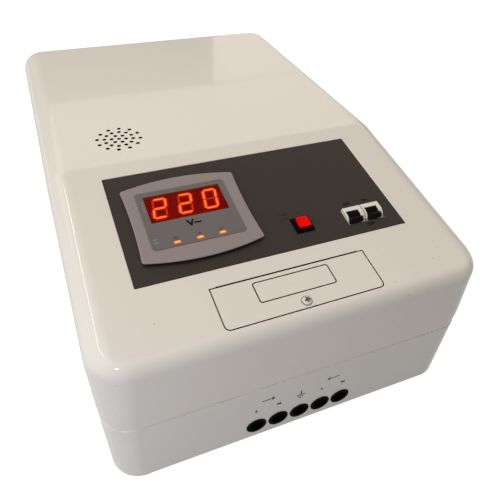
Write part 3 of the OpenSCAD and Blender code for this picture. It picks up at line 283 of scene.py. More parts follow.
def hatch_loop(grow, top_more=0.0):
    """Hatch outline: round lower corners, a shallow bulge under the screw, and, on the seat, a wider
    slot along the top."""
    x, v, w, h = HATCH
    r, bulge_r, bulge = 4.0, 12.0, 0.15
    slot = w / 2 - 5.0
    reach = math.degrees(math.acos((bulge_r - bulge + grow) / (bulge_r + grow)))
    hw, hh = w / 2 + grow, h / 2 + grow
    tops = [[hw, hh], [slot, hh], [slot, hh + top_more]]
    tops += [[-slot, hh + top_more], [-slot, hh], [-hw, hh]]
    loop = np.concatenate(
        [
            arc(0, -h / 2 + bulge_r - bulge, bulge_r + grow, -90 - reach, -90 + reach, 11),
            arc(w / 2 - r, -h / 2 + r, r + grow, -90, 0, 9),
            np.array(tops, float),
            arc(-w / 2 + r, -h / 2 + r, r + grow, 180, 270, 9),
        ]
    )
    return loop + [x, v]


def bezel_loop(grow, soft=2.2):
    """Bezel outline: parabolas that bow out above and below and draw in at the sides, with the corners
    rounded by a curve through each corner's control point."""
    hw, hh, bow, waist = 51.4 + grow, 40.5 + grow, 6.6, 1.7
    soft = max(soft + grow, 0.5)
    tx, ty = 1 - soft / hw, 1 - soft / hh

    def upper(t):
        """Upper edge for t from -1 to 1: a parabola that is highest in the middle."""
        return np.column_stack([hw * t, hh + bow * (1 - t * t)])

    def right(t):
        """Right edge for t from -1 to 1: a parabola that is drawn in at the middle."""
        return np.column_stack([hw - waist * (1 - t * t), hh * t])

    side = right(np.linspace(-ty, ty, 15))
    top = upper(np.linspace(tx, -tx, 25))
    s = np.linspace(0, 1, 7)[1:-1, None]

    def corner(a, b, c):
        """Quadratic curve from a to c with b as its control point."""
        return (1 - s) ** 2 * a + 2 * s * (1 - s) * b + s * s * c

    ne = corner(side[-1], np.array([hw, hh]), top[0])
    half = np.concatenate([side, ne, top])
    nw = corner(top[-1], np.array([-hw, hh]), np.array([-side[-1][0], side[-1][1]]))
    return np.concatenate([half, nw, -half, -nw]) + [BEZEL_X, BEZEL_V]


def rim_levels(radius, depth, count=5):
    """Growth and depth of the rings of a rim that leads from the surface into an opening: a quarter circle
    of the radius, then straight down to the depth."""
    t = np.linspace(0, math.pi / 2, count)
    levels = [(radius * (1 - math.sin(a)), -radius * (1 - math.cos(a))) for a in t]
    if depth > radius:
        levels.append((0.0, -depth))
    return levels


# Edge of the casing


def slope_height(y):
    """Height of the sloped plane over a place along the casing."""
    return HEIGHT - (CREASE_Y - y) * math.tan(TILT)


def stations():
    """Places round the cover's edge, anticlockwise from above. Each has the outward normal of the wall, the
    normal of the front face there, the centre and the radius of the ball that rolls in the edge, and the
    spread that leads from the corner's rounding at the top to the one at the seam."""
    rows = []
    slope_normal = [0, -math.sin(TILT), math.cos(TILT)]
    crease_y, crease_z = CREASE_AXIS

    def add(outward, upward, centre, radius, spread=(0, 0, 0)):
        """Adds one place to the rows."""
        rows.append([*outward, *upward, *centre, radius, *spread])

    def side(way):
        """Along a long wall: up the slope, round the crease's arc, and along the flat part."""
        reach = CREASE_R - EDGE_R
        spine = []
        for y in np.linspace(NEAR_Y + TOP_CORNER_R, crease_y - reach * math.sin(TILT), 12)[:-1]:
            spine.append((y, slope_height(y) - EDGE_R / math.cos(TILT), TILT))
        for a in np.linspace(TILT, 0, 9):
            spine.append((crease_y - reach * math.sin(a), crease_z + reach * math.cos(a), a))
        for y in np.linspace(crease_y, FAR_Y - CORNER_R, 15)[1:]:
            spine.append((y, HEIGHT - EDGE_R, 0.0))
        for y, z, a in spine if way > 0 else spine[::-1]:
            add([way, 0, 0], [0, -math.sin(a), math.cos(a)], [way * (HALF_W - EDGE_R), y, z], EDGE_R)

    def far_corner(way, angles):
        """Round a far corner: the ball's centre goes round the corner's axis."""
        turn = CORNER_R - EDGE_R
        for a in np.radians(angles):
            out = np.array([math.cos(a), math.sin(a), 0])
            centre = np.array([way * (HALF_W - CORNER_R), FAR_Y - CORNER_R, 0]) + turn * out
            centre[2] = HEIGHT - EDGE_R
            add(out, [0, 0, 1], centre, EDGE_R)

    def near_corner(way, angles):
        """Round a near corner: the ball's radius goes from EDGE_R to NEAR_EDGE_R by a smooth step."""
        for a in np.radians(angles):
            out = np.array([math.cos(a), math.sin(a), 0])
            t = abs(out[1]) ** CORNER_POWER
            t = t * t * (3 - 2 * t)
            radius = EDGE_R + (NEAR_EDGE_R - EDGE_R) * t
            centre = np.array([way * (HALF_W - TOP_CORNER_R), NEAR_Y + TOP_CORNER_R, 0])
            centre += (TOP_CORNER_R - radius) * out
            centre[2] = slope_height(centre[1]) - radius / math.cos(TILT)
            spread = (TOP_CORNER_R - CORNER_R) * (np.array([way, -1, 0]) - out)
            add(out, slope_normal, centre, radius, spread)

    side(1)
    far_corner(1, np.linspace(0, 90, 17)[1:])
    for x in np.linspace(HALF_W - CORNER_R, CORNER_R - HALF_W, 16)[1:-1]:
        add([0, 1, 0], [0, 0, 1], [x, FAR_Y - EDGE_R, HEIGHT - EDGE_R], EDGE_R)
    far_corner(-1, np.linspace(90, 180, 17)[:-1])
    side(-1)
    near_corner(-1, np.linspace(180, 270, 25)[1:])
    y = NEAR_Y + NEAR_EDGE_R
    z = slope_height(y) - NEAR_EDGE_R / math.cos(TILT)
    for x in np.linspace(TOP_CORNER_R - HALF_W, HALF_W - TOP_CORNER_R, 16)[1:-1]:
        add([0, -1, 0], slope_normal, [x, y, z], NEAR_EDGE_R)
    near_corner(1, np.linspace(270, 360, 25)[:-1])
    table = np.array(rows, float)
    return table[:, 0:3], table[:, 3:6], table[:, 6:9], table[:, 9], table[:, 10:13]


def front_height(y, deep):
    """Height of the front face over plan places: the slope, an arc over the crease, then flat."""
    cy, cz = CREASE_AXIS
    slope = slope_height(y) - deep / math.cos(TILT)
    r = CREASE_R - deep
    bend = cz + np.sqrt(np.maximum(r * r - (y - cy) ** 2, 0.0))
    z = np.where(y < cy - r * math.sin(TILT), slope, bend)
    return np.where(y > cy, HEIGHT - deep, z)


def edge_rings(edge, deep, bottoms):
    """Rings from the bottom of the wall up over the rounded edge and onto the front face. The round is the
    arc from the wall's normal to the face's about the ball's centre, drawn down the near wall with the
    square of the way to it. Beyond it the rings step in along the face, less so where the hatch is near."""
    outward, upward, centre, ball, spread = edge
    radius = (ball - deep)[:, None]
    drop = NEAR_EDGE_DROP * (EDGE_R - ball) / (EDGE_R - NEAR_EDGE_R)
    foot = centre + radius * outward
    rings = []
    for step_in, z in bottoms:
        ring = foot + spread - step_in * outward
        ring[:, 2] = z
        rings.append(ring)
    low = rings[-1][:, 2]
    for share in (0.25, 0.5, 0.75):
        ring = foot + spread * (1 - share)
        ring[:, 2] = low + share * (centre[:, 2] - drop - low)
        rings.append(ring)
    dot = (outward * upward).sum(1)[:, None]
    gap = np.arccos(dot)
    for t in np.linspace(0, 1, 13):
        way = (np.sin((1 - t) * gap) * outward + np.sin(t * gap) * upward) / np.sin(gap)
        rings.append(centre + radius * way)
        rings[-1][:, 2] -= drop * (1 - t) ** 2
    inward = -outward + dot * upward
    inward /= np.linalg.norm(inward, axis=1)[:, None]
    room = np.clip((ball - NEAR_EDGE_R) / (EDGE_R - NEAR_EDGE_R), NEAR_EDGE_ROOM, 1.0)[:, None]
    for step in (0.5, 3.0):
        rings.append(centre + radius * upward + step * room * inward)
    return rings


def vent_places():
    """Centre hole and rings of six, twelve and twelve holes."""
    spots = [(0.0, 0.0)]
    for ring, count in ((1, 6), (2, 12), (3, 12)):
        a = np.radians(VENT_TURN + np.arange(count) * 360 / count)
        spots += list(zip(VENT_PITCH * ring * np.cos(a), VENT_PITCH * ring * np.sin(a)))
    return np.array(spots) + VENT_CENTRE


def panel_seat(grow):
    """Outline of the recess that holds the panel, a little wider than the panel."""
    x, v, w, h = PANEL
    return round_rect(x, v, w + 2 * PANEL_GAP, h + 2 * PANEL_GAP, 0.9, grow, 5)


def hatch_seat(grow):
    """Outline of the recess that holds the hatch, with the gap round it."""
    return hatch_loop(HATCH_GAP + grow, HATCH_SLOT)


def cover_walls(skin):
    """Outer and inner wall with their rounded edges, and the foot between them, which stands in a little at
    the seam so that the tray's rim shows. Gives back the stations and each wall's innermost ring."""
    edge = stations()
    tongue_z = SEAM_Z + 5.2
    foot = [(0.65, -1.3), (0.55, -1.1), (0.42, 2.0), (0.2, 6.0), (0.0, 14.0)]
    outer = edge_rings(edge, 0.0, [(step_in, SEAM_Z + z) for step_in, z in foot])
    inner = edge_rings(edge, SKIN, [(0.0, tongue_z)])
    tongue = [outer[0].copy(), outer[0].copy()]
    tongue[1][:, 2] = tongue_z
    skin.rings(outer)
    skin.rings(tongue + inner, flip=True)
    return edge, outer[-1][:, :2], inner[-1][:, :2]


def cover_seats(skin):
    """Recesses for the panel and the hatch, with rounded rims, the openings in their floors, and the frame
    and boss behind the hatch. Gives back the rims and the openings as seen from above."""
    rims = []
    for loop, radius, floor in ((panel_seat, 0.8, PANEL_SEAT), (hatch_seat, HATCH_RIM, HATCH_SEAT)):
        levels = rim_levels(radius, -floor)
        # Painted shade: the lower rings of each seat's rim carry depth values that darken them.
        skin.rings([on_slope(loop(g), w) for g, w in levels], value=[0, 0, 0, 0.3, 1, 1])
        rims.append(on_slope(loop(levels[0][0]))[:, :2])
    cuts = [
        round_rect(BEZEL_X, FACE_V, *DISPLAY_CUT),
        round_rect(*SWITCH, *SWITCH_CUT),
        round_rect(BREAKERS[0], BREAKERS[1] - 1.35, *BREAKER_CUT),
    ]
    opening = round_rect(HATCH[0], HATCH[1], HATCH_W - 5, HATCH_H - 5, 0.5)
    # Painted shade: the seat floors carry depth 1, which paints them near black.
    skin.fill(panel_seat(0.0), cuts, lambda p: on_slope(p, PANEL_SEAT), value=1.0)
    skin.fill(hatch_seat(0.0), [opening], lambda p: on_slope(p, HATCH_SEAT), value=1.0)
    for loop in cuts:
        skin.rings([on_slope(loop, w) for w in (PANEL_SEAT, -SKIN)])
    under = -SKIN - 3.5
    skin.rings([on_slope(opening, w) for w in (HATCH_SEAT, under)])
    brim = round_rect(HATCH[0], HATCH[1], HATCH_W + 6, HATCH_H + 3, 0.5)
    skin.rings([on_slope(brim, w) for w in (under, -SKIN + 0.1)])
    skin.fill(brim, [opening], lambda p: on_slope(p, under), flip=True)
    bore, outer, low, high = 2.05, 5.5, -11.3, HATCH_SEAT - 0.02
    boss = ((bore, low), (outer, low), (outer, high), (bore, high), (bore, low))
    skin.rings([on_slope(ring_loop(*SCREW, r, 24), w) for r, w in boss])
    return rims, cuts + [opening]


def cover_vents(skin):
    """Round field, thinned from inside, and its holes with rounded rims. Gives back the field and rims."""
    vents = vent_places()
    field = ring_loop(*vents[0], VENT_FIELD_R, 64)
    holes = [ring_loop(x, y, VENT_R, 24) for x, y in vents]
    # Painted shade: the thinned field's underside and its wall carry depth 1, which paints them near black.
    skin.fill(field, holes, lambda p: on_flat(p, VENT_FLOOR), flip=True, value=1.0)
    skin.rings([on_flat(field, w) for w in (VENT_FLOOR, -SKIN)], value=[1, 1])
    # Painted shade: the holes' walls below their rims carry depth 1, so the holes read black.
    levels = rim_levels(VENT_RIM, -VENT_FLOOR, 3)
    for x, y in vents:
        skin.rings([on_flat(ring_loop(x, y, VENT_R + g, 24), w) for g, w in levels], value=[0, 1, 1, 1])
    return field, [ring_loop(x, y, VENT_R + VENT_RIM, 24) for x, y in vents]


def cover_face(skin, edge, border, deep, holes, flip):
    """Front face inside a border ring, with lines from side to side where it bends at the crease."""
    outward, upward = edge[:2]
    bend = np.where((upward[:, 2] < 1) & (np.abs(outward[:, 0]) == 1))[0]
    way = outward[bend, 0]
    count = 9
    pairs = zip(bend[way > 0][-count:], bend[way < 0][::-1][-count:])
    lines = [border[[i, j]] for i, j in pairs]
    skin.fill(border, holes, lambda p: np.column_stack([p, front_height(p[:, 1], deep)]), lines, flip)


def cover_posts(skin):
    """Six screw posts, open at the bore, from the seam up to just under the front face."""
    bore, outer = 2.0, 4.6
    spots = ((NEAR_Y + 18, 3.0, 152.0), (FAR_Y - 18, 3.0, 152.0), (CREASE_Y + 14, 6.5, 159.0))
    for way in (-1, 1):
        for y, short, x in spots:
            top = float(front_height(np.array([y]), 0.0)[0]) - short
            levels = ((bore, SEAM_Z), (outer, SEAM_Z), (outer, top))
            skin.rings([np.column_stack([ring_loop(way * x, y, r, 20), np.full(20, z)]) for r, z in levels])


def make_cover(finish):
    """Front cover as one skin: both walls, recesses, vents, both faces of the front, and posts."""
    skin = Skin()
    edge, outer, inner = cover_walls(skin)
    rims, openings = cover_seats(skin)
    field, vents = cover_vents(skin)
    cover_face(skin, edge, outer, 0.0, rims + vents, False)
    cover_face(skin, edge, inner, SKIN, [on_slope(loop, -SKIN)[:, :2] for loop in openings] + [field], True)
    cover_posts(skin)
    # The skin's depth values are the mask for the painted shade in the seats and vents.
    piece("cover_skin", skin, finish, stands_for=["front_cover"], tells="depth")


def make_hatch(finish):
    """Hatch plate: the outline carried up its side and round its upper rim, closed above and below."""
    skin = Skin()
    rim = [(HATCH_GROW - g, w) for g, w in rim_levels(HATCH_RIM, 0.0)[::-1]]
    levels = [(HATCH_GROW, HATCH_UNDER), (HATCH_GROW, -0.9)] + rim
    # Painted shade: the plate's side and the outer part of its rim carry depth values that paint them dark,
    # as the shade in the gap round the hatch.
    skin.rings([on_slope(hatch_loop(g), w) for g, w in levels], value=[1, 1, 1, 0.5, 0, 0, 0])
    skin.fill(hatch_loop(levels[-1][0]), [], on_slope)
    skin.fill(hatch_loop(HATCH_GROW), [], lambda p: on_slope(p, HATCH_UNDER), flip=True)
    piece("hatch_plate", skin, finish, "hatch", ["terminal_hatch"], tells="depth")


def make_screw(finish):
    """Pan-head screw of the hatch: a shank, a head whose dome is part of a ball, and a cross recess.
    Painted shade darkens the recess's walls and floor, and a painted shadow rings the head's foot. The
    cross is half of its outline and that half turned round."""
    skin = Skin()
    at = np.array(SCREW)
    ball, top, recess = 5.9, 2.1, 1.0
    shank, tip, head, crown = 2.0, -11.0, 4.4, 3.4
    arm, half, turn = 2.3, 0.5, math.radians(14)

    def dome(p):
        """Places lifted onto a ball whose highest point is at top."""
        d = p - at
        return on_slope(p, top - ball + np.sqrt(ball * ball - (d * d).sum(1)))

    def ring(r):
        """Circle of radius r round the screw."""
        return ring_loop(*SCREW, r, 36)

    cross = np.array([[arm, -half], [arm, half], [half, half], [half, arm], [-half, arm], [-half, half]])
    spin = np.array([[math.cos(turn), math.sin(turn)], [-math.sin(turn), math.cos(turn)]])
    cross = np.concatenate([cross, -cross]) @ spin + at
    levels = ((shank, tip), (shank, 0.02), (head, 0.02), (head + 0.1, 0.12))
    side = [on_slope(ring(r), w) for r, w in levels]
    # Painted shadow: the head's side and outer dome rings carry depth values, a dark ring at its foot.
    skin.rings(side + [dome(ring(r)) for r in (head, 4.0, crown)], value=[0, 0, 1, 1, 1, 0.4, 0])
    skin.fill(ring(crown), [cross], dome)
    # Painted shade: the cross recess's walls and floor carry depth 1.
    skin.rings([dome(cross), on_slope(cross, recess)], value=[1, 1])
    skin.fill(cross, [], lambda p: on_slope(p, recess), value=1.0)
    skin.fill(ring(shank), [], lambda p: on_slope(p, tip), flip=True)
    piece("screw_head", skin, finish, "hatch", ["hatch_screw"], tells="depth")


def make_bezel(finish):
    """Bezel: the bowed outline as a thin lip over a smaller foot, a soft shoulder, a flat frame, and a
    recess with a sloping rim, its floor open for the window and the lamps."""
    skin = Skin()
    turn = np.linspace(-math.pi / 2, math.pi / 2, 9)[1:]
    foot = -4.2
    rise = [(foot, PANEL_TOP), (foot, BEZEL_TOP - 1.9), (-0.9, BEZEL_TOP - 1.6)]
    rise += [(-0.8 * (1 - math.cos(a)), BEZEL_TOP - 0.85 + 0.75 * math.sin(a)) for a in turn]
    rise.append((-2.4, BEZEL_TOP))
    skin.rings([on_slope(bezel_loop(g), w) for g, w in rise])

    def recess(g):
        """Outline of the recess, grown by g."""
        return round_rect(BEZEL_X, FACE_V, *RECESS, g, 9)

    levels = [(0.9, 0.0), (0.7, -0.1), (0.1, -1.1), (0.0, -1.2)]
    skin.rings([on_slope(recess(g), BEZEL_TOP + w) for g, w in levels])
    skin.fill(bezel_loop(rise[-1][0]), [recess(levels[0][0])], lambda p: on_slope(p, BEZEL_TOP))
    openings = [round_rect(BEZEL_X, WINDOW_V, *WINDOW)]
    openings += [round_rect(x, LAMP_V, *LAMP_HOLE) for x in LAMP_XS]
    skin.fill(recess(0.0), openings, lambda p: on_slope(p, FACE_Z))
    for loop in openings:
        skin.rings([on_slope(loop, w) for w in (FACE_Z, PANEL_TOP)])
    skin.fill(bezel_loop(foot), openings, lambda p: on_slope(p, PANEL_TOP), flip=True)
    piece("bezel_frame", skin, finish, stands_for=["display_bezel"])


def make_cap(finish):
    """Push-button cap: a rounded square carried up, round its rim and over a shallow dish whose depth falls
    with the square of the way in."""
    skin = Skin()
    side, tall, top = 11.0, 12.0, PANEL_TOP + 4.9
    rim, dish, reach = 0.7, 0.3, 4.6
    levels = [(0.0, top - tall)]
    levels += [(g - rim, top + w) for g, w in rim_levels(rim, 0.0, 6)[::-1]]
    levels += [(-rim - d, top - dish * (1 - (1 - d / reach) ** 2)) for d in np.linspace(0.4, 4.4, 6)]

    def loop(g):
        """Outline of the cap, scaled until it has grown by g."""
        return round_rect(0.0, 0.0, side, side, 0.9) * (1 + 2 * g / side) + SWITCH

    skin.rings([on_slope(loop(g), w) for g, w in levels])
    skin.fill(loop(levels[-1][0]), [], lambda p: on_slope(p, levels[-1][1]))
    skin.fill(loop(0.0), [], lambda p: on_slope(p, levels[0][1]), flip=True)
    piece("cap_shell", skin, finish, body="button", stands_for=["push_button"])


def make_lamps(finish):
    """Three lamp lenses: rounded oblongs whose outline shrinks as it rises over a low dome. Their light
    grows towards the middle by a power of the way in."""
    skin = Skin()
    dome = ((1.0, -6.0), (1.0, 0.35), (0.9, 0.65), (0.65, 0.85), (0.35, 0.95), (0.08, 1.0))
    for x in LAMP_XS:
        loops = [round_rect(0.0, 0.0, *LAMP) * share + [x, LAMP_V] for share, w in dome]
        rings = [on_slope(loop, FACE_Z + w) for loop, (share, w) in zip(loops, dome)]
        skin.rings(rings, value=[(1.02 - share) ** 1.4 for share, w in dome])
        skin.fill(loops[-1], [], lambda p: on_slope(p, FACE_Z + dome[-1][1]), value=1.0)
    piece("lamp_lenses", skin, finish, stands_for=["indicator_lenses"])


def make_lamp_halos(finish):
    """Light that each lamp spreads on the overlay: rings of the lamp's outline that fade outwards."""
    skin = Skin()
    for x in LAMP_XS:
        loops = [round_rect(x, LAMP_V, *HALO_SIZE, grow) for grow in (0.0, 0.6, 1.3, 2.2)]
        skin.rings([on_slope(loop, FACE_Z + 0.04) for loop in loops], value=[1, 0.65, 0.25, 0])
    piece("lamp_halos", skin, finish)


# Digits of the display

BAR = 2.15
BAR_GAP = 0.35
DIGIT_H = 23.4
DIGIT_W = DIGIT_H * 0.55
DIGIT_PITCH = 22.6
DIGIT_V = WINDOW_V + 1.7
DIGIT_LEAN = math.tan(math.radians(9))
DIGIT_Z = FACE_Z - 2.2
BARS = {
    "top": (0, 1, False),
    "upper_right": (1, 0.5, True),
    "lower_right": (1, -0.5, True),
    "bottom": (0, -1, False),
    "lower_left": (-1, -0.5, True),
    "upper_left": (-1, 0.5, True),
    "middle": (0, 0, False),
}
TWO = ("top", "upper_right", "middle", "lower_left", "bottom")
NOUGHT = ("top", "upper_right", "lower_right", "bottom", "lower_left", "upper_left")
READING = (TWO, TWO, NOUGHT)
BAR_FACES = [[0, 1, 6], [1, 2, 7, 6], [2, 3, 7], [3, 4, 7], [4, 5, 6, 7], [5, 0, 6]]


def bar_points(name, digit, grow):
    """Six border points and two spine points of one bar, with both ends pointed; the digit leans."""
    gx, gy = (DIGIT_W - BAR) / 2, (DIGIT_H - BAR) / 2
    sx, sy, upright = BARS[name]
    e = ((gy if upright else 2 * gx) - BAR_GAP + 2 * grow) / 2
    t = BAR / 2 + grow
    x = np.array([-e, t - e, e - t, e, e - t, t - e, t - e, e - t])
    p = np.column_stack([x, [0, -t, -t, 0, t, t, 0, 0]])
    if upright:
        p = np.column_stack([-p[:, 1], p[:, 0]])
    p += [sx * gx, sy * gy]
    p[:, 0] += p[:, 1] * DIGIT_LEAN
    return p + [BEZEL_X + (digit - 1) * DIGIT_PITCH, DIGIT_V]


def make_bars(name, lit, grow, lift, finish, stands_for):
    """Bars of the three digits, those that are lit or those that are not, bright along their spine and
    falling off to the border."""
    skin = Skin()
    glow = [0, 0, 0, 0, 0, 0, 1, 1]
    for digit, shown in enumerate(READING):
        for bar in BARS:
            if (bar in shown) == lit:
                skin.patch(on_slope(bar_points(bar, digit, grow), lift), BAR_FACES, glow)
    piece(name, skin, finish, stands_for=stands_for, sharp=80, merge=False)


# Prints

INK_LIFT = 0.03


def on_panel(points):
    """Places of a print on the panel."""
    return on_slope(points, PANEL_TOP + INK_LIFT)


def on_overlay(points):
    """Places of a print on the display's overlay."""
    return on_slope(points, FACE_Z + 0.4 + INK_LIFT)


def on_wall(points):
    """Places of a print on the wall with the cable entries."""
    return on_near_wall(points, INK_LIFT)


def words(text, size, lift, x, v, bold):
    """Flat letters as places and faces: text set to a height in millimetres, centred at (x, v)."""
    curve = bpy.data.curves.new("letters", "FONT")
    curve.body = text
    curve.size = size
    curve.align_x = "CENTER"
    curve.align_y = "CENTER"
    curve.offset = bold
    curve.resolution_u = 3
    holder = bpy.data.objects.new("letters", curve)
    bpy.context.scene.collection.objects.link(holder)
    bpy.context.view_layer.update()
    mesh = bpy.data.meshes.new_from_object(holder.evaluated_get(bpy.context.evaluated_depsgraph_get()))
    co = np.zeros(len(mesh.vertices) * 3)
    mesh.vertices.foreach_get("co", co)
    faces = [list(p.vertices) for p in mesh.polygons]
    bpy.data.objects.remove(holder)
    bpy.data.curves.remove(curve)
    bpy.data.meshes.remove(mesh)
    return lift(co.reshape(-1, 3)[:, :2] + [x, v]), faces


def stroke(points, width):
    """Flat ribbon of even width along a line: each point is moved half the width to either side."""
    p = np.asarray(points, float)
    d = np.gradient(p, axis=0)
    d /= np.linalg.norm(d, axis=1)[:, None]
    side = np.column_stack([-d[:, 1], d[:, 0]]) * width / 2
    n = len(p)
    i = np.arange(n - 1)
    return np.concatenate([p - side, p + side]), np.column_stack([i, i + 1, i + 1 + n, i + n])


def print_lines(skin, lift, lines, width, shift=(0, 0)):
    """Lines of one width, each printed as a ribbon on the surface that lift leads to."""
    for line in lines:
        places, faces = stroke(line, width)
        skin.patch(lift(places + shift), faces)


def print_piece(name, skin, ink, body="casing"):
    """Mesh object of one print, its patches left apart."""
    piece(name, skin, ink, body, sharp=80, merge=False)


def make_panel_print(ink):
    """Words above and below the breakers, and, by the push button, two waves, each a cosine over one
    period, and a bar."""
    skin = Skin()
    x, above, below, size, bold = BREAKERS[0], -106.2, -134.4, 4.2, 0.25
    for text, dx, v in (("ON", -9.0, above), ("ON", 10.2, above), ("OFF", 1.4, below)):
        skin.patch(*words(text, size, on_panel, x + dx, v, bold))
    x, half, swing = SWITCH[0], 4.4, 1.1
    t = np.linspace(-half, half, 13)
    for way, v in ((-1, -102.2), (1, -108.6)):
        wave = np.column_stack([x - 11.3 + t, v + way * swing * np.cos(t / half * math.pi)])
        print_lines(skin, on_panel, [wave], 0.5)
    print_lines(skin, on_panel, [[[x + dx, -103.4] for dx in (0.8, 1.6, 3.6, 4.4)]], 0.6)
    print_piece("panel_print", skin, ink)


def make_face_print(ink):
    """Unit under the digits, and a sign over each lamp: a switch ring, an arrow and a sine wave."""
    skin = Skin()
    skin.patch(*words("V~", 10.0, on_overlay, BEZEL_X, -93.2, 0.42))
    left, middle, right = LAMP_XS
    v = LAMP_V + 4.6
    t = np.radians(np.linspace(125, 415, 15))
    ring = np.column_stack([left + 1.3 * np.cos(t), v + 1.3 * np.sin(t)])
    bar = [[left, v + 0.2], [left, v + 0.9], [left, v + 1.8]]
    shaft = [[middle - 2.2, v], [middle, v], [middle + 1.4, v]]
    barb = ((0.4, 1.1), (1.0, 0.5), (1.6, 0))
    barbs = [[[middle + dx, v + dv * way] for dx, dv in barb] for way in (1, -1)]
    t = np.linspace(-math.pi, math.pi, 17)
    wave = np.column_stack([right + t * 0.8, v + 1.0 * np.sin(t)])
    print_lines(skin, on_overlay, [ring, bar, shaft, *barbs, wave], 0.4)
    print_piece("face_print", skin, ink)


def make_face_ticks(ink):
    """Short pale ticks at the left border of the overlay."""
    skin = Skin()
    for v in (-60.0, -63.6, -67.0, -70.4):
        print_lines(skin, on_overlay, [[[BEZEL_X + dx, v] for dx in (-37.2, -36.2, -35.0)]], 0.55)
    for v in (-103.0, -106.6):
        print_lines(skin, on_overlay, [[[BEZEL_X + dx, v] for dx in (-37.6, -35.6, -34.0)]], 0.6)
    print_piece("face_ticks", skin, ink)


def make_wall_print(ink):
    """Letters over the cable entries, an earth sign in the middle, and arrows for in and out."""
    skin = Skin()
    for text, i in (("L", -2), ("N", -1), ("L", 1), ("N", 2)):
        skin.patch(*words(text, 5.0, on_wall, i * ENTRY_PITCH - 1.0, 44.6, 0.3))
    earth = [[[0.0, 55.0], [0.0, 52.0], [0.0, 48.4]]]
    earth += [[[-half, z], [0.0, z], [half, z]] for z, half in ((48.4, 4.6), (45.8, 2.9), (43.4, 1.3))]
    print_lines(skin, on_wall, earth, 1.1, (-1.4, -1.0))
    z = 57.5
    for x, way in ((-34.0, 1), (30.5, -1)):
        arrow = [[[x - 6, z], [x, z], [x + 6, z]]]
        for up in (1, -1):
            arrow.append([[x + way * dx, z + up * dz] for dx, dz in ((3.6, 2), (4.8, 1), (6, 0))])
        print_lines(skin, on_wall, arrow, 1.0)
    print_piece("wall_print", skin, ink)


def make_hatch_print(ink):
    """Empty label frame on the hatch: the band between two rounded rectangles."""
    skin = Skin()
    x, v = -4.1, -173.15
    outer = round_rect(x, v, 66.8, 19.7, 2.4)
    inner = round_rect(x, v, 64.8, 17.7, 1.5)
    n = len(outer)
    i = np.arange(n)
    band = np.column_stack([i, (i + 1) % n, (i + 1) % n + n, i + n])
    skin.patch(on_slope(np.concatenate([outer, inner]), INK_LIFT), band)
    print_piece("hatch_print", skin, ink, body="hatch")


# Finishes


def new_group(name, inputs, outputs):
    """Empty shader node group with named sockets."""
    group = bpy.data.node_groups.new(name, "ShaderNodeTree")
    for label, kind, value in inputs:
        s = group.interface.new_socket(label, in_out="INPUT", socket_type=kind)
        if value is not None:
            s.default_value = value
    for label, kind in outputs:
        group.interface.new_socket(label, in_out="OUTPUT", socket_type=kind)
    return group, group.nodes.new("NodeGroupInput"), group.nodes.new("NodeGroupOutput")


def new_material(name):
    """Material with nodes, its node tree and its shader."""
    mat = bpy.data.materials.new(name)
    mat.use_nodes = True
    return mat, mat.node_tree, mat.node_tree.nodes["Principled BSDF"]


def set_inputs(node, **values):
    """Sets sockets of a node. Their names have low lines here where they have spaces."""
    for key, value in values.items():
        node.inputs[key.replace("_", " ")].default_value = value


def grain_group():
    """Grain of moulded or rolled surfaces: the tone is a fine noise and a broad one, mixed by the fine
    share, and the height is the fine noise alone."""
    group, gin, gout = new_group(
        "surface_grain",
        [
            ("Place", "NodeSocketVector", None),
            ("Fine per metre", "NodeSocketFloat", 900.0),
            ("Broad per metre", "NodeSocketFloat", 14.0),
            ("Fine share", "NodeSocketFloat", 0.5),
        ],
        [("Tone", "NodeSocketFloat"), ("Height", "NodeSocketFloat")],
    )
    make, link = group.nodes.new, group.links.new
    fine = make("ShaderNodeTexNoise")
    broad = make("ShaderNodeTexNoise")
    fine.inputs["Detail"].default_value = 2.0
    broad.inputs["Detail"].default_value = 3.0
    for noise, scale in ((fine, "Fine per metre"), (broad, "Broad per metre")):
        link(gin.outputs["Place"], noise.inputs["Vector"])
        link(gin.outputs[scale], noise.inputs["Scale"])
    mix = make("ShaderNodeMix")
    mix.data_type = "FLOAT"
    link(gin.outputs["Fine share"], mix.inputs[0])
    link(broad.outputs["Fac"], mix.inputs[2])
    link(fine.outputs["Fac"], mix.inputs[3])
    link(mix.outputs[0], gout.inputs["Tone"])
    link(fine.outputs["Fac"], gout.inputs["Height"])
    return group


def speck_group():
    """Sparse dust specks: small cells of a Voronoi pattern, kept where the distance to the seed is tiny."""
    group, gin, gout = new_group(
        "dust_specks",
        [
            ("Place", "NodeSocketVector", None),
            ("Per metre", "NodeSocketFloat", 60.0),
            ("Size share", "NodeSocketFloat", 0.04),
        ],
        [("Mask", "NodeSocketFloat")],
    )
    make, link = group.nodes.new, group.links.new
    cells = make("ShaderNodeTexVoronoi")
    link(gin.outputs["Place"], cells.inputs["Vector"])
    link(gin.outputs["Per metre"], cells.inputs["Scale"])
    less = make("ShaderNodeMath")
    less.operation = "LESS_THAN"
    link(cells.outputs["Distance"], less.inputs[0])
    link(gin.outputs["Size share"], less.inputs[1])
    link(less.outputs[0], gout.inputs["Mask"])
    return group


def edge_group():
    """Softly rounded edges: the averaged normal of the faces that meet within a small radius."""
    sockets = [("Radius", "NodeSocketFloat", 0.0004)], [("Normal", "NodeSocketVector")]
    group, gin, gout = new_group("rounded_edge", *sockets)
    bevel = group.nodes.new("ShaderNodeBevel")
    bevel.samples = 4
    group.links.new(gin.outputs["Radius"], bevel.inputs["Radius"])
    group.links.new(bevel.outputs["Normal"], gout.inputs["Normal"])
    return group


GRAIN = grain_group()
SPECKS = speck_group()
EDGE = edge_group()
DUST_SHADE = 0.7


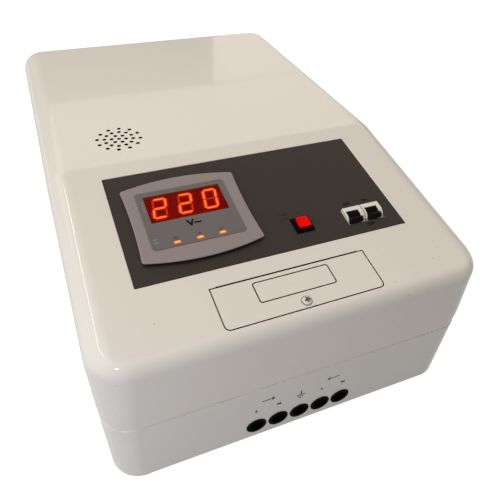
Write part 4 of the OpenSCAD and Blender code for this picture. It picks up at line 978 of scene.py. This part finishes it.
def new_finish(
    name, light, dark, rough, grain, bump, height=0.00004, edge=0.0, specks=0.0, deep=None, **fixed
):
    """Material of one moulded, rolled or coated surface. Its colour runs between two tints, and its
    roughness between two values, with the grain, which also lifts the surface a little. Grain holds the
    fine and the broad grains per metre and the share of the fine ones, deep is the colour of the painted
    shade that the mesh's depth values lay into gaps, recesses and holes, and fixed holds the shader's
    sockets that stay the same all over."""
    mat, tree, shader = new_material(name)
    make, link = tree.nodes.new, tree.links.new
    place = make("ShaderNodeTexCoord").outputs["Object"]

    def effect(group, **values):
        """Node that runs a group, with its values set."""
        node = make("ShaderNodeGroup")
        node.node_tree = group
        set_inputs(node, **values)
        return node

    def blended(mask, under, over):
        """Colour that goes from under to over as the mask goes from 0 to 1."""
        mix = make("ShaderNodeMix")
        mix.data_type = "RGBA"
        mix.inputs[7].default_value = (*over, 1)
        if isinstance(under, tuple):
            mix.inputs[6].default_value = (*under, 1)
        else:
            link(under, mix.inputs[6])
        link(mask, mix.inputs[0])
        return mix.outputs[2]

    def by_tone(low, high):
        """Value that goes from low to high as the pattern's tone goes from 0.3 to 0.7."""
        span = make("ShaderNodeMapRange")
        set_inputs(span, From_Min=0.3, From_Max=0.7, To_Min=low, To_Max=high)
        link(pattern.outputs["Tone"], span.inputs["Value"])
        return span.outputs["Result"]

    pattern = effect(GRAIN, Fine_per_metre=grain[0], Broad_per_metre=grain[1], Fine_share=grain[2])
    link(place, pattern.inputs["Place"])
    colour = blended(by_tone(0.0, 1.0), dark, light)
    if specks:
        dust = effect(SPECKS, Per_metre=specks)
        link(place, dust.inputs["Place"])
        colour = blended(dust.outputs["Mask"], colour, [c * DUST_SHADE for c in dark])
    # Painted shade: where the mesh's depth value is high, in gaps, recesses and holes, the colour goes over
    # to the deep colour.
    if deep:
        down = make("ShaderNodeAttribute")
        down.attribute_name = "depth"
        colour = blended(down.outputs["Fac"], colour, deep)
    link(colour, shader.inputs["Base Color"])
    link(by_tone(*rough), shader.inputs["Roughness"])
    lump = make("ShaderNodeBump")
    set_inputs(lump, Strength=bump, Distance=height)
    link(pattern.outputs["Height"], lump.inputs["Height"])
    if edge:
        link(effect(EDGE, Radius=edge).outputs["Normal"], lump.inputs["Normal"])
    link(lump.outputs["Normal"], shader.inputs["Normal"])
    set_inputs(shader, **fixed)
    return mat


def glowing(name, low, high, strength, rough=0.4, fades=False):
    """Lit surface whose colour runs from low at the border to high at the middle, by the piece's glow; it
    may also fade away where the glow ends."""
    mat, tree, shader = new_material(name)
    at = tree.nodes.new("ShaderNodeAttribute")
    at.attribute_name = "glow"
    ramp = tree.nodes.new("ShaderNodeValToRGB")
    ramp.color_ramp.elements[0].color = (*low, 1)
    ramp.color_ramp.elements[1].color = (*high, 1)
    tree.links.new(at.outputs["Fac"], ramp.inputs["Fac"])
    tree.links.new(ramp.outputs["Color"], shader.inputs["Emission Color"])
    tree.links.new(ramp.outputs["Color"], shader.inputs["Base Color"])
    if fades:
        tree.links.new(at.outputs["Fac"], shader.inputs["Alpha"])
    set_inputs(shader, Emission_Strength=strength, Roughness=rough)
    return mat


CASING_GLOSS = {"Specular_IOR_Level": 0.15, "Coat_Weight": 0.85, "Coat_Roughness": 0.045, "specks": 70}
# Its deep colour is near-black painted shade for the panel and hatch seats, the gap round the hatch plate
# and the vent holes.
IVORY = new_finish(
    "ivory_gloss", (0.700, 0.632, 0.552), (0.680, 0.612, 0.532),
    rough=(0.14, 0.20), grain=(520, 9, 0.35), bump=0.03, height=0.00012, deep=(0.006, 0.0055, 0.005),
    **CASING_GLOSS,
)
IVORY_TRAY = new_finish(
    "ivory_tray", (0.675, 0.622, 0.552), (0.655, 0.602, 0.532),
    rough=(0.15, 0.22), grain=(520, 9, 0.35), bump=0.03, height=0.00012, edge=0.0008, **CASING_GLOSS,
)
PANEL_DARK = new_finish(
    "panel_dark", (0.049, 0.039, 0.031), (0.042, 0.033, 0.026),
    rough=(0.34, 0.44), grain=(1500, 30, 0.7), bump=0.08, edge=0.0003, Specular_IOR_Level=0.08,
)
BEZEL_GREY = new_finish(
    "bezel_mauve", (0.252, 0.208, 0.190), (0.238, 0.196, 0.179),
    rough=(0.30, 0.40), grain=(1600, 25, 0.6), bump=0.06, Specular_IOR_Level=0.4,
)
OVERLAY = new_finish(
    "overlay_film", (0.140, 0.118, 0.110), (0.130, 0.109, 0.102),
    rough=(0.38, 0.48), grain=(1800, 20, 0.6), bump=0.05, Specular_IOR_Level=0.3,
)
INK = new_finish(
    "black_ink", (0.006, 0.0055, 0.005), (0.004, 0.004, 0.004),
    rough=(0.5, 0.65), grain=(2500, 60, 0.8), bump=0.05, Specular_IOR_Level=0.1,
)
PALE_INK = new_finish(
    "pale_ink", (0.34, 0.31, 0.30), (0.30, 0.27, 0.26),
    rough=(0.4, 0.5), grain=(2500, 60, 0.8), bump=0.05,
)
BLACK = new_finish(
    "black_gloss", (0.004, 0.003, 0.003), (0.002, 0.0015, 0.0015),
    rough=(0.30, 0.42), grain=(1200, 40, 0.6), bump=0.06, edge=0.0004, Specular_IOR_Level=0.1,
)
RED_CAP = new_finish(
    "red_cap", (0.88, 0.003, 0.002), (0.82, 0.002, 0.001),
    rough=(0.26, 0.34), grain=(1400, 40, 0.6), bump=0.05, Specular_IOR_Level=0.03,
)
BREAKER = new_finish(
    "breaker_cream", (0.72, 0.67, 0.59), (0.67, 0.62, 0.54),
    rough=(0.3, 0.42), grain=(1600, 40, 0.6), bump=0.08, edge=0.0005,
)
FILTER = new_finish(
    "red_filter", (1.0, 0.45, 0.26), (0.96, 0.43, 0.24),
    rough=(0.05, 0.09), grain=(900, 30, 0.5), bump=0.02, Transmission_Weight=1.0, IOR=1.08,
)
# Painted glow: the module behind the red window emits a faint red, standing in for light that reaches it
# through the filter.
MODULE_PAINTED_GLOW = new_finish(
    "dark_module_painted_glow", (0.055, 0.001, 0.0003), (0.045, 0.0008, 0.0002),
    rough=(0.5, 0.6), grain=(1500, 50, 0.6), bump=0.05, Specular_IOR_Level=0.1,
    Emission_Color=(0.085, 0.0005, 0.0, 1), Emission_Strength=1.0,
)
ZINC = new_finish(
    "bright_zinc", (0.62, 0.58, 0.53), (0.50, 0.46, 0.42),
    rough=(0.26, 0.40), grain=(2200, 60, 0.6), bump=0.08, edge=0.0002, Metallic=1.0,
)
# Its deep colour is the painted shade in the cross recess and the painted shadow round the head's foot.
HATCH_SCREW = new_finish(
    "screw_zinc", (0.80, 0.74, 0.66), (0.66, 0.61, 0.54),
    rough=(0.26, 0.38), grain=(2200, 60, 0.6), bump=0.08, deep=(0.022, 0.014, 0.01), Metallic=0.4,
)
SHEET = new_finish(
    "galvanised_sheet", (0.56, 0.57, 0.58), (0.44, 0.45, 0.46),
    rough=(0.32, 0.5), grain=(260, 60, 0.5), bump=0.05, edge=0.0003, Metallic=1.0,
)
RUBBER = new_finish(
    "black_rubber", (0.002, 0.002, 0.002), (0.001, 0.001, 0.001),
    rough=(0.6, 0.75), grain=(1800, 40, 0.7), bump=0.12, Specular_IOR_Level=0.03,
)
PHENOLIC = new_finish(
    "black_phenolic", (0.010, 0.009, 0.008), (0.007, 0.006, 0.006),
    rough=(0.4, 0.55), grain=(1300, 40, 0.6), bump=0.08, edge=0.0004, Specular_IOR_Level=0.2,
)
BRASS = new_finish(
    "plain_brass", (0.72, 0.50, 0.20), (0.62, 0.42, 0.16),
    rough=(0.25, 0.4), grain=(1800, 60, 0.6), bump=0.06, edge=0.0003, Metallic=1.0,
)
WRAP = new_finish(
    "amber_wrap", (0.46, 0.25, 0.07), (0.34, 0.17, 0.04),
    rough=(0.2, 0.35), grain=(300, 60, 0.5), bump=0.15, Coat_Weight=0.5,
)
CORE = new_finish(
    "silicon_steel", (0.26, 0.27, 0.29), (0.20, 0.21, 0.23),
    rough=(0.35, 0.5), grain=(1500, 60, 0.6), bump=0.08, edge=0.0003, Metallic=1.0,
)
BOARD = new_finish(
    "solder_mask", (0.030, 0.20, 0.085), (0.022, 0.16, 0.065),
    rough=(0.25, 0.4), grain=(800, 60, 0.5), bump=0.05,
)
RELAY = new_finish(
    "relay_black", (0.028, 0.028, 0.032), (0.020, 0.020, 0.023),
    rough=(0.35, 0.5), grain=(1500, 40, 0.6), bump=0.08, edge=0.0004,
)
SLEEVE = new_finish(
    "blue_sleeve", (0.035, 0.045, 0.18), (0.025, 0.035, 0.14),
    rough=(0.25, 0.35), grain=(900, 40, 0.6), bump=0.05,
)
SENSOR = new_finish(
    "sensor_blue", (0.05, 0.11, 0.32), (0.04, 0.09, 0.27),
    rough=(0.35, 0.5), grain=(1500, 40, 0.6), bump=0.08, edge=0.0004,
)
LIT_RED = glowing("lit_bar", (0.80, 0.03, 0.012), (1.0, 0.46, 0.13), 1.05)
BAR_HALO = glowing("bar_halo", (0.07, 0.0003, 0.0), (0.30, 0.004, 0.001), 0.9)
# Painted glow: the unlit bars emit a dim red, standing in for light they catch behind the filter.
UNLIT_BAR_PAINTED_GLOW = glowing("dim_bar", (0.16, 0.003, 0.006), (0.30, 0.008, 0.016), 0.9)
LAMP_GLOW = glowing("lamp_glow", (1.0, 0.06, 0.008), (1.0, 0.52, 0.07), 1.0, 0.25)
LAMP_HALO = glowing("lamp_halo", (0.9, 0.05, 0.01), (1.0, 0.10, 0.01), 0.8, 0.5, fades=True)

NODES_BY_FINISH = (
    (IVORY_TRAY, ["base_tray"]),
    (PANEL_DARK, ["control_panel"]),
    (OVERLAY, ["display_face"]),
    (FILTER, ["display_window"]),
    (MODULE_PAINTED_GLOW, ["digit_module"]),
    (BLACK, ["switch_body", "left_toggle", "right_toggle"]),
    (BREAKER, ["left_breaker", "right_breaker"]),
    (ZINC, ["breaker_rail", "bracket_screws", "terminal_screws", "block_screws", "plate_screws"]),
    (ZINC, ["transformer_bolt", "transformer_nut", "case_screws"]),
    (SHEET, ["breaker_bracket", "mounting_plate", "clamp_dish"]),
    (PHENOLIC, ["terminal_block"]),
    (BRASS, ["terminal_clamps", "board_standoffs"]),
    (CORE, ["transformer_core", "supply_transformer"]),
    (WRAP, ["transformer_winding"]),
    (RUBBER, ["lower_pad", "upper_pad"] + [f"cable_grommet_{i}" for i in range(1, 6)]),
    (BOARD, ["display_board", "relay_board"]),
    (RELAY, ["power_relays", "processor_chip"]),
    (SLEEVE, ["board_capacitors"]),
    (SENSOR, ["current_sensor"]),
)


def smoothing_group():
    """Geometry nodes that join a node's loose triangles and shade them smooth, with creases kept."""
    group = bpy.data.node_groups.new("smooth_solid", "GeometryNodeTree")
    group.interface.new_socket("Geometry", in_out="INPUT", socket_type="NodeSocketGeometry")
    limit = group.interface.new_socket("Crease angle", in_out="INPUT", socket_type="NodeSocketFloat")
    limit.default_value = math.radians(28)
    group.interface.new_socket("Geometry", in_out="OUTPUT", socket_type="NodeSocketGeometry")
    make, link = group.nodes.new, group.links.new
    gin, gout = make("NodeGroupInput"), make("NodeGroupOutput")
    merge = make("GeometryNodeMergeByDistance")
    merge.inputs["Distance"].default_value = 2e-6
    faces = make("GeometryNodeSetShadeSmooth")
    creases = make("GeometryNodeSetShadeSmooth")
    creases.domain = "EDGE"
    creases.inputs["Shade Smooth"].default_value = False
    angle = make("GeometryNodeInputMeshEdgeAngle")
    more = make("FunctionNodeCompare")
    more.data_type = "FLOAT"
    more.operation = "GREATER_THAN"
    link(gin.outputs["Geometry"], merge.inputs["Geometry"])
    link(merge.outputs["Geometry"], faces.inputs["Geometry"])
    link(faces.outputs["Geometry"], creases.inputs["Geometry"])
    link(angle.outputs["Unsigned Angle"], more.inputs[0])
    link(gin.outputs["Crease angle"], more.inputs[1])
    link(more.outputs["Result"], creases.inputs["Selection"])
    link(creases.outputs["Geometry"], gout.inputs["Geometry"])
    return group


# Floor, background, lights and camera


def seen_share(tree, mirrored):
    """One where the eye or a clear plate looks at the surface, a smaller share where a gloss mirrors it,
    and nought for the light that it sheds."""
    path = tree.nodes.new("ShaderNodeLightPath")

    def worked_out(operation, first, second):
        """Result of one operation on an output and a number, or on two outputs."""
        node = tree.nodes.new("ShaderNodeMath")
        node.operation = operation
        tree.links.new(first, node.inputs[0])
        if isinstance(second, float):
            node.inputs[1].default_value = second
        else:
            tree.links.new(second, node.inputs[1])
        return node.outputs[0]

    looked_at = worked_out("MAXIMUM", path.outputs["Is Camera Ray"], path.outputs["Is Transmission Ray"])
    return worked_out("MAXIMUM", looked_at, worked_out("MULTIPLY", path.outputs["Is Glossy Ray"], mirrored))


def make_floor():
    """Pale floor that keeps the shadow: its own colour takes the light, and a plain lift makes it white."""
    half, white_lift = 30.0, 0.88
    mesh = bpy.data.meshes.new("floor")
    corners = [(-half, -half, 0), (half, -half, 0), (half, half, 0), (-half, half, 0)]
    mesh.from_pydata(corners, [], [[0, 1, 2, 3]])
    mat, tree, shader = new_material("white_floor")
    set_inputs(shader, Base_Color=(0.24, 0.215, 0.20, 1), Roughness=0.9, Specular_IOR_Level=0.0)
    set_inputs(shader, Emission_Color=(1, 1, 1, 1))
    lift = tree.nodes.new("ShaderNodeMath")
    lift.operation = "MULTIPLY"
    lift.inputs[1].default_value = white_lift
    tree.links.new(seen_share(tree, 0.5), lift.inputs[0])
    tree.links.new(lift.outputs[0], shader.inputs["Emission Strength"])
    mesh.materials.append(mat)
    obj = bpy.data.objects.new("floor", mesh)
    bpy.context.scene.collection.objects.link(obj)


def make_world():
    """Even surround for the light; white to the eye."""
    world = bpy.data.worlds.new("studio")
    bpy.context.scene.world = world
    world.use_nodes = True
    tree = world.node_tree
    back = tree.nodes["Background"]
    set_inputs(back, Color=(1.0, 0.97, 0.93, 1), Strength=0.265)
    seen = tree.nodes.new("ShaderNodeBackground")
    set_inputs(seen, Color=(1, 1, 1, 1), Strength=1.0)
    mix = tree.nodes.new("ShaderNodeMixShader")
    tree.links.new(seen_share(tree, 0.2), mix.inputs[0])
    tree.links.new(back.outputs[0], mix.inputs[1])
    tree.links.new(seen.outputs[0], mix.inputs[2])
    tree.links.new(mix.outputs[0], tree.nodes["World Output"].inputs["Surface"])


CREAM = (1.0, 0.985, 0.945)
WARM = (1.0, 0.93, 0.80)
COOL = (0.95, 0.97, 1.0)
COOLER = (0.90, 0.95, 1.0)
BLUE = (0.80, 0.88, 1.0)
DEEP_BLUE = (0.50, 0.67, 1.0)

# Name, place, target, width and height in metres, power in watts, colour, and whether glosses mirror it
LIGHTS = (
    ("overhead", (-0.38, -0.32, 2.3), (0, 0, 0.1), (1.5, 1.5), 32, CREAM, False),
    ("left_strip", (-1.30, 0.85, 1.75), (-0.16, -0.1, 0.15), (1.3, 0.07), 2.4, COOL, True),
    ("left_fill", (-1.5, 1.2, 0.4), (0, 0, 0.1), (0.9, 0.4), 17, COOLER, False),
    ("near_fill", (-0.6, -0.75, 0.14), (-0.12, -0.26, 0.06), (0.4, 0.2), 2.1, BLUE, False),
    ("near_window", (-0.46, -0.62, 0.43), (-0.12, -0.22, 0.1), (0.09, 0.12), 0.7, DEEP_BLUE, True),
    ("far_ceiling", (0.2, 3.58, 2.4), (0.2, 3.62, 0), (7.0, 3.0), 40, WARM, True),
    ("far_wall", (3.34, 5.08, 1.35), (3.34, 0, 1.35), (3.2, 2.1), 12.5, WARM, True),
)


def softbox(name, place, target, size, power, colour, mirrored):
    """Rectangular area light that looks at a target."""
    light = bpy.data.lights.new(name, "AREA")
    light.shape = "RECTANGLE"
    light.size, light.size_y = size
    light.energy = power
    light.color = colour
    obj = bpy.data.objects.new(name, light)
    obj.location = place
    obj.visible_glossy = mirrored
    way = Vector(target) - Vector(place)
    obj.rotation_euler = way.to_track_quat("-Z", "Y").to_euler()
    bpy.context.scene.collection.objects.link(obj)


# The camera was fitted to the photo: its place in millimetres, its axes, and its focal length and
# picture centre in pixels of a square frame
FRAME_PX = 500
FOCAL_PX = 490.04
CENTRE_PX = (250.89, 260.06)
FILM_MM = 36.0
CAMERA_PLACE = (-149.8, -459.1, 430.2)
CAMERA_RIGHT = (0.9245, -0.3786, 0.0435)
CAMERA_AHEAD = (0.3063, 0.6701, -0.6762)


def make_camera():
    """Camera fitted to the photo. Its up direction is square to the right and ahead ones."""
    data = bpy.data.cameras.new("camera")
    data.sensor_width = FILM_MM
    data.sensor_fit = "HORIZONTAL"
    data.lens = FOCAL_PX / FRAME_PX * FILM_MM
    data.shift_x = -(CENTRE_PX[0] - FRAME_PX / 2) / FRAME_PX
    data.shift_y = (CENTRE_PX[1] - FRAME_PX / 2) / FRAME_PX
    data.clip_start = 0.01
    obj = bpy.data.objects.new("camera", data)
    right = Vector(CAMERA_RIGHT).normalized()
    ahead = Vector(CAMERA_AHEAD).normalized()
    turn = Matrix((right, right.cross(ahead), -ahead)).transposed()
    obj.matrix_world = Matrix.Translation(Vector(CAMERA_PLACE) * MM) @ turn.to_4x4()
    bpy.context.scene.collection.objects.link(obj)
    bpy.context.scene.camera = obj


# Everything in order

SMOOTH = smoothing_group()
for surface, names in NODES_BY_FINISH:
    for name in names:
        obj = nodes[name]
        obj.data.materials.clear()
        obj.data.materials.append(surface)
        obj.modifiers.new("smooth", "NODES").node_group = SMOOTH
        obj.modifiers.new("weighted", "WEIGHTED_NORMAL").keep_sharp = True

make_cover(IVORY)
make_hatch(IVORY)
make_bezel(BEZEL_GREY)
make_cap(RED_CAP)
make_screw(HATCH_SCREW)
make_lamps(LAMP_GLOW)
make_lamp_halos(LAMP_HALO)
make_bars("lit_bars", True, 0.0, DIGIT_Z + 0.4, LIT_RED, ["lit_segments"])
# Painted glow: wider dim emitting bars under the lit ones, the light they spread on the module.
make_bars("bar_glow", True, 1.5, DIGIT_Z + 0.15, BAR_HALO, [])
# Unlit bars with a painted glow.
make_bars("unlit_bars_painted_glow", False, 0.0, DIGIT_Z + 0.3, UNLIT_BAR_PAINTED_GLOW, ["unlit_segments"])
make_panel_print(INK)
make_face_print(INK)
make_face_ticks(PALE_INK)
make_wall_print(INK)
make_hatch_print(INK)

make_floor()
make_world()
for light in LIGHTS:
    softbox(*light)
make_camera()
bpy.context.scene.view_settings.view_transform = "Standard"
